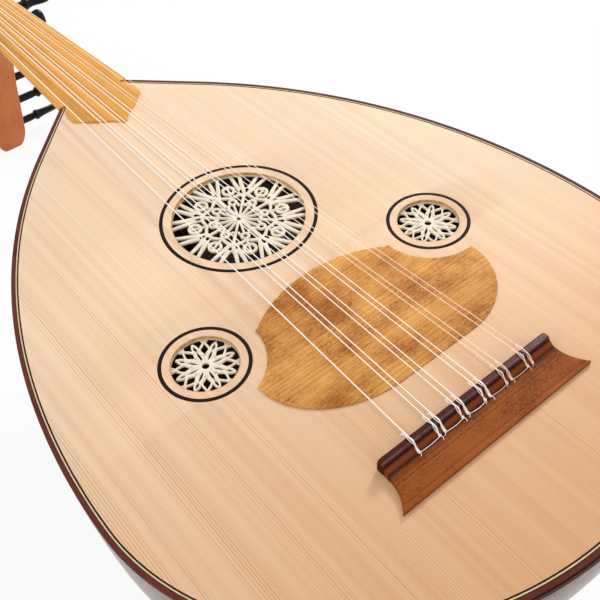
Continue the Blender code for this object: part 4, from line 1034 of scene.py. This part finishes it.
def makePegs():
    places = stringPlaces()
    leads = dict(bass=[], treble=[])
    for number, name, side, *where in pegAxes():
        makePeg(number, name, side, *where)
        center, width, end = where
        place = places[number // 2 if number % 2 else peg["count"] - 1 - number // 2]
        leads[place["kind"]].append((makeCoil(number, name, side, center, width, place), place["radius"]))
    for kind, rows in leads.items():
        routes, radii = zip(*rows)
        tube(kind + "Leads", routes, min(radii), courses["finishes"][kind])


makePegs()
print("pegs made")


# finishes for the nodes that keep their modelled shape

keptFinishes = dict(neck="neckWood", neck_block="braceWood", tail_block="braceWood", end_clasp="claspWood")
keptStarts = dict(string_5="clearString", string_6="clearString", string_="whiteString", brace_="braceWood")
softened = dict(nut=("boneFinish", 0.5 * mm), pegbox_back=("pegboxWood", 0.5 * mm),
                bass_cheek=("pegboxWood", 0.5 * mm), treble_cheek=("pegboxWood", 0.5 * mm),
                pegbox_tip=("pegboxWood", 0.7 * mm))
pegboxEnd = dict(spot=(-203.9 * mm, 271.9 * mm), heading=(-0.968, 0.251), half=16.8 * mm, reach=25 * mm,
                 cut=6 * mm)
mouth = dict(half=18.9 * mm, heights=(-19.6 * mm, -3.6 * mm), along=(200.65 * mm, 201.9 * mm))


def softenedCopy(name, finish, width):
    # a copy of the modelled shape with its hard edges rounded off and the pegbox's end drawn in
    mesh = frame["nodes"][name].data.copy()
    build = bmesh.new()
    build.from_mesh(mesh)
    bmesh.ops.remove_doubles(build, verts=build.verts, dist=sameSpot)
    spotZ, spotY = pegboxEnd["spot"]
    headZ, headY = pegboxEnd["heading"]
    for vertex in build.verts if name != "nut" else ():
        toEnd = (spotZ - vertex.co.z + home.z) * headZ + (spotY - vertex.co.y + home.y) * headY
        share = min(1.0, max(0.0, 1 - toEnd / pegboxEnd["reach"]))
        vertex.co.x *= 1 - pegboxEnd["cut"] / pegboxEnd["half"] * (1 - sqrt(1 - share**2))
    hard = [edge for edge in build.edges
            if len(edge.link_faces) == 2 and edge.calc_face_angle() > radians(35)]
    bmesh.ops.bevel(build, geom=hard, offset=width, offset_type="OFFSET", segments=3, profile=0.5,
                    affect="EDGES", clamp_overlap=True)
    build.to_mesh(mesh)
    build.free()
    newObject(name + "Softened", mesh, finish, 50, replaced=(name,))


def makeMouthBlock():
    # thin block that closes the pegbox behind the neck's end, under the strings
    half, (low, high) = mouth["half"], mouth["heights"]
    corners = ((-half, low), (half, low), (half, high), (-half, high))
    skin("mouthBlock", [[at(x, y, z) for x, z in corners] for y in mouth["along"]], "neckWood")


for nodeName, how in softened.items():
    softenedCopy(nodeName, *how)
makeMouthBlock()
for nodeName, node in frame["nodes"].items():
    fits = [finish for start, finish in keptStarts.items() if nodeName.startswith(start)]
    finish = keptFinishes.get(nodeName) or (fits[0] if fits else None)
    if finish:
        node.data.materials.clear()
        node.data.materials.append(finishes[finish][0])
print("kept nodes finished")


# floor, light and camera

lights = dict(sky=0.6, aim=(0, -0.15, 0.2),
              lamps=(("keyLamp", (1.3, 0.35, 1.15), 0.4, 15.5), ("fillLamp", (-1.7, -0.3, 1.45), 1.4, 8.8)))
paper = dict(half=6.0, low=-0.5 * mm, tone=0.97, rough=0.9, glow=0.9)


def directlySeen(tree):
    rays = addNode(tree, "ShaderNodeLightPath")
    return mathNode(tree, "MAXIMUM", rays.outputs["Is Camera Ray"], rays.outputs["Is Glossy Ray"])


def makeFloor():
    mesh = bpy.data.meshes.new("floor")
    half = paper["half"]
    corners = ((-half, -half, 0), (half, -half, 0), (half, half, 0), (-half, half, 0))
    mesh.from_pydata(corners, [], [(0, 1, 2, 3)])
    floor = linked("floor", mesh)
    floor.location.z = paper["low"]
    made, tree, shader = startMaterial("floorPaper")
    feed(tree, shader, ("Base Color", 3 * [paper["tone"]]), ("Roughness", paper["rough"]))
    glow = addNode(tree, "ShaderNodeEmission", Strength=1.0, Color=(1, 1, 1, 1))
    share = mathNode(tree, "MULTIPLY", directlySeen(tree), paper["glow"])
    face = mixShader(tree, share, shader.outputs[0], glow.outputs[0])
    # seen from below, the floor is clear
    underside = addNode(tree, "ShaderNodeNewGeometry").outputs["Backfacing"]
    face = mixShader(tree, underside, face, addNode(tree, "ShaderNodeBsdfTransparent").outputs[0])
    feed(tree, tree.nodes["Material Output"], ("Surface", face))
    mesh.materials.append(made)


def makeLight():
    world = bpy.data.worlds.new("studio")
    bpy.context.scene.world = world
    world.use_nodes = True
    air = world.node_tree
    feed(air, air.nodes["Background"], ("Color", (1, 1, 1)),
         ("Strength", spread(air, directlySeen(air), 0, 1, lights["sky"], 1.0)))
    for name, place, size, power in lights["lamps"]:
        lamp = bpy.data.lights.new(name, "AREA")
        lamp.shape = "DISK"
        lamp.size = size
        lamp.energy = power
        holder = linked(name, lamp)
        holder.location = place
        aim = Vector(lights["aim"]) - holder.location
        holder.rotation_mode = "QUATERNION"
        holder.rotation_quaternion = aim.to_track_quat("-Z", "Y")


makeFloor()
makeLight()

view = dict(focal=855.48, frameWidth=600, sensor=36.0, spot=(-218.8 * mm, -553.29 * mm, 372.25 * mm),
            forward=(0.39762764, 0.54847406, -0.73557356), upward=(0.49442081, 0.54725376, 0.67532317))


def makeCamera():
    data = bpy.data.cameras.new("photoCamera")
    data.sensor_width = view["sensor"]
    data.lens = view["sensor"] * view["focal"] / view["frameWidth"]
    data.clip_start = 0.01
    data.clip_end = 50
    camera = linked("photoCamera", data)
    forward = Vector(view["forward"]).normalized()
    upward = Vector(view["upward"])
    upward = (upward - upward.dot(forward) * forward).normalized()
    right = forward.cross(upward)
    turn = Matrix((right, upward, -forward)).transposed()
    camera.rotation_mode = "QUATERNION"
    camera.rotation_quaternion = turn.to_quaternion()
    camera.location = home + Vector(view["spot"])
    bpy.context.scene.camera = camera


makeCamera()
bpy.context.scene.view_settings.view_transform = "Standard"
print("camera and light set")
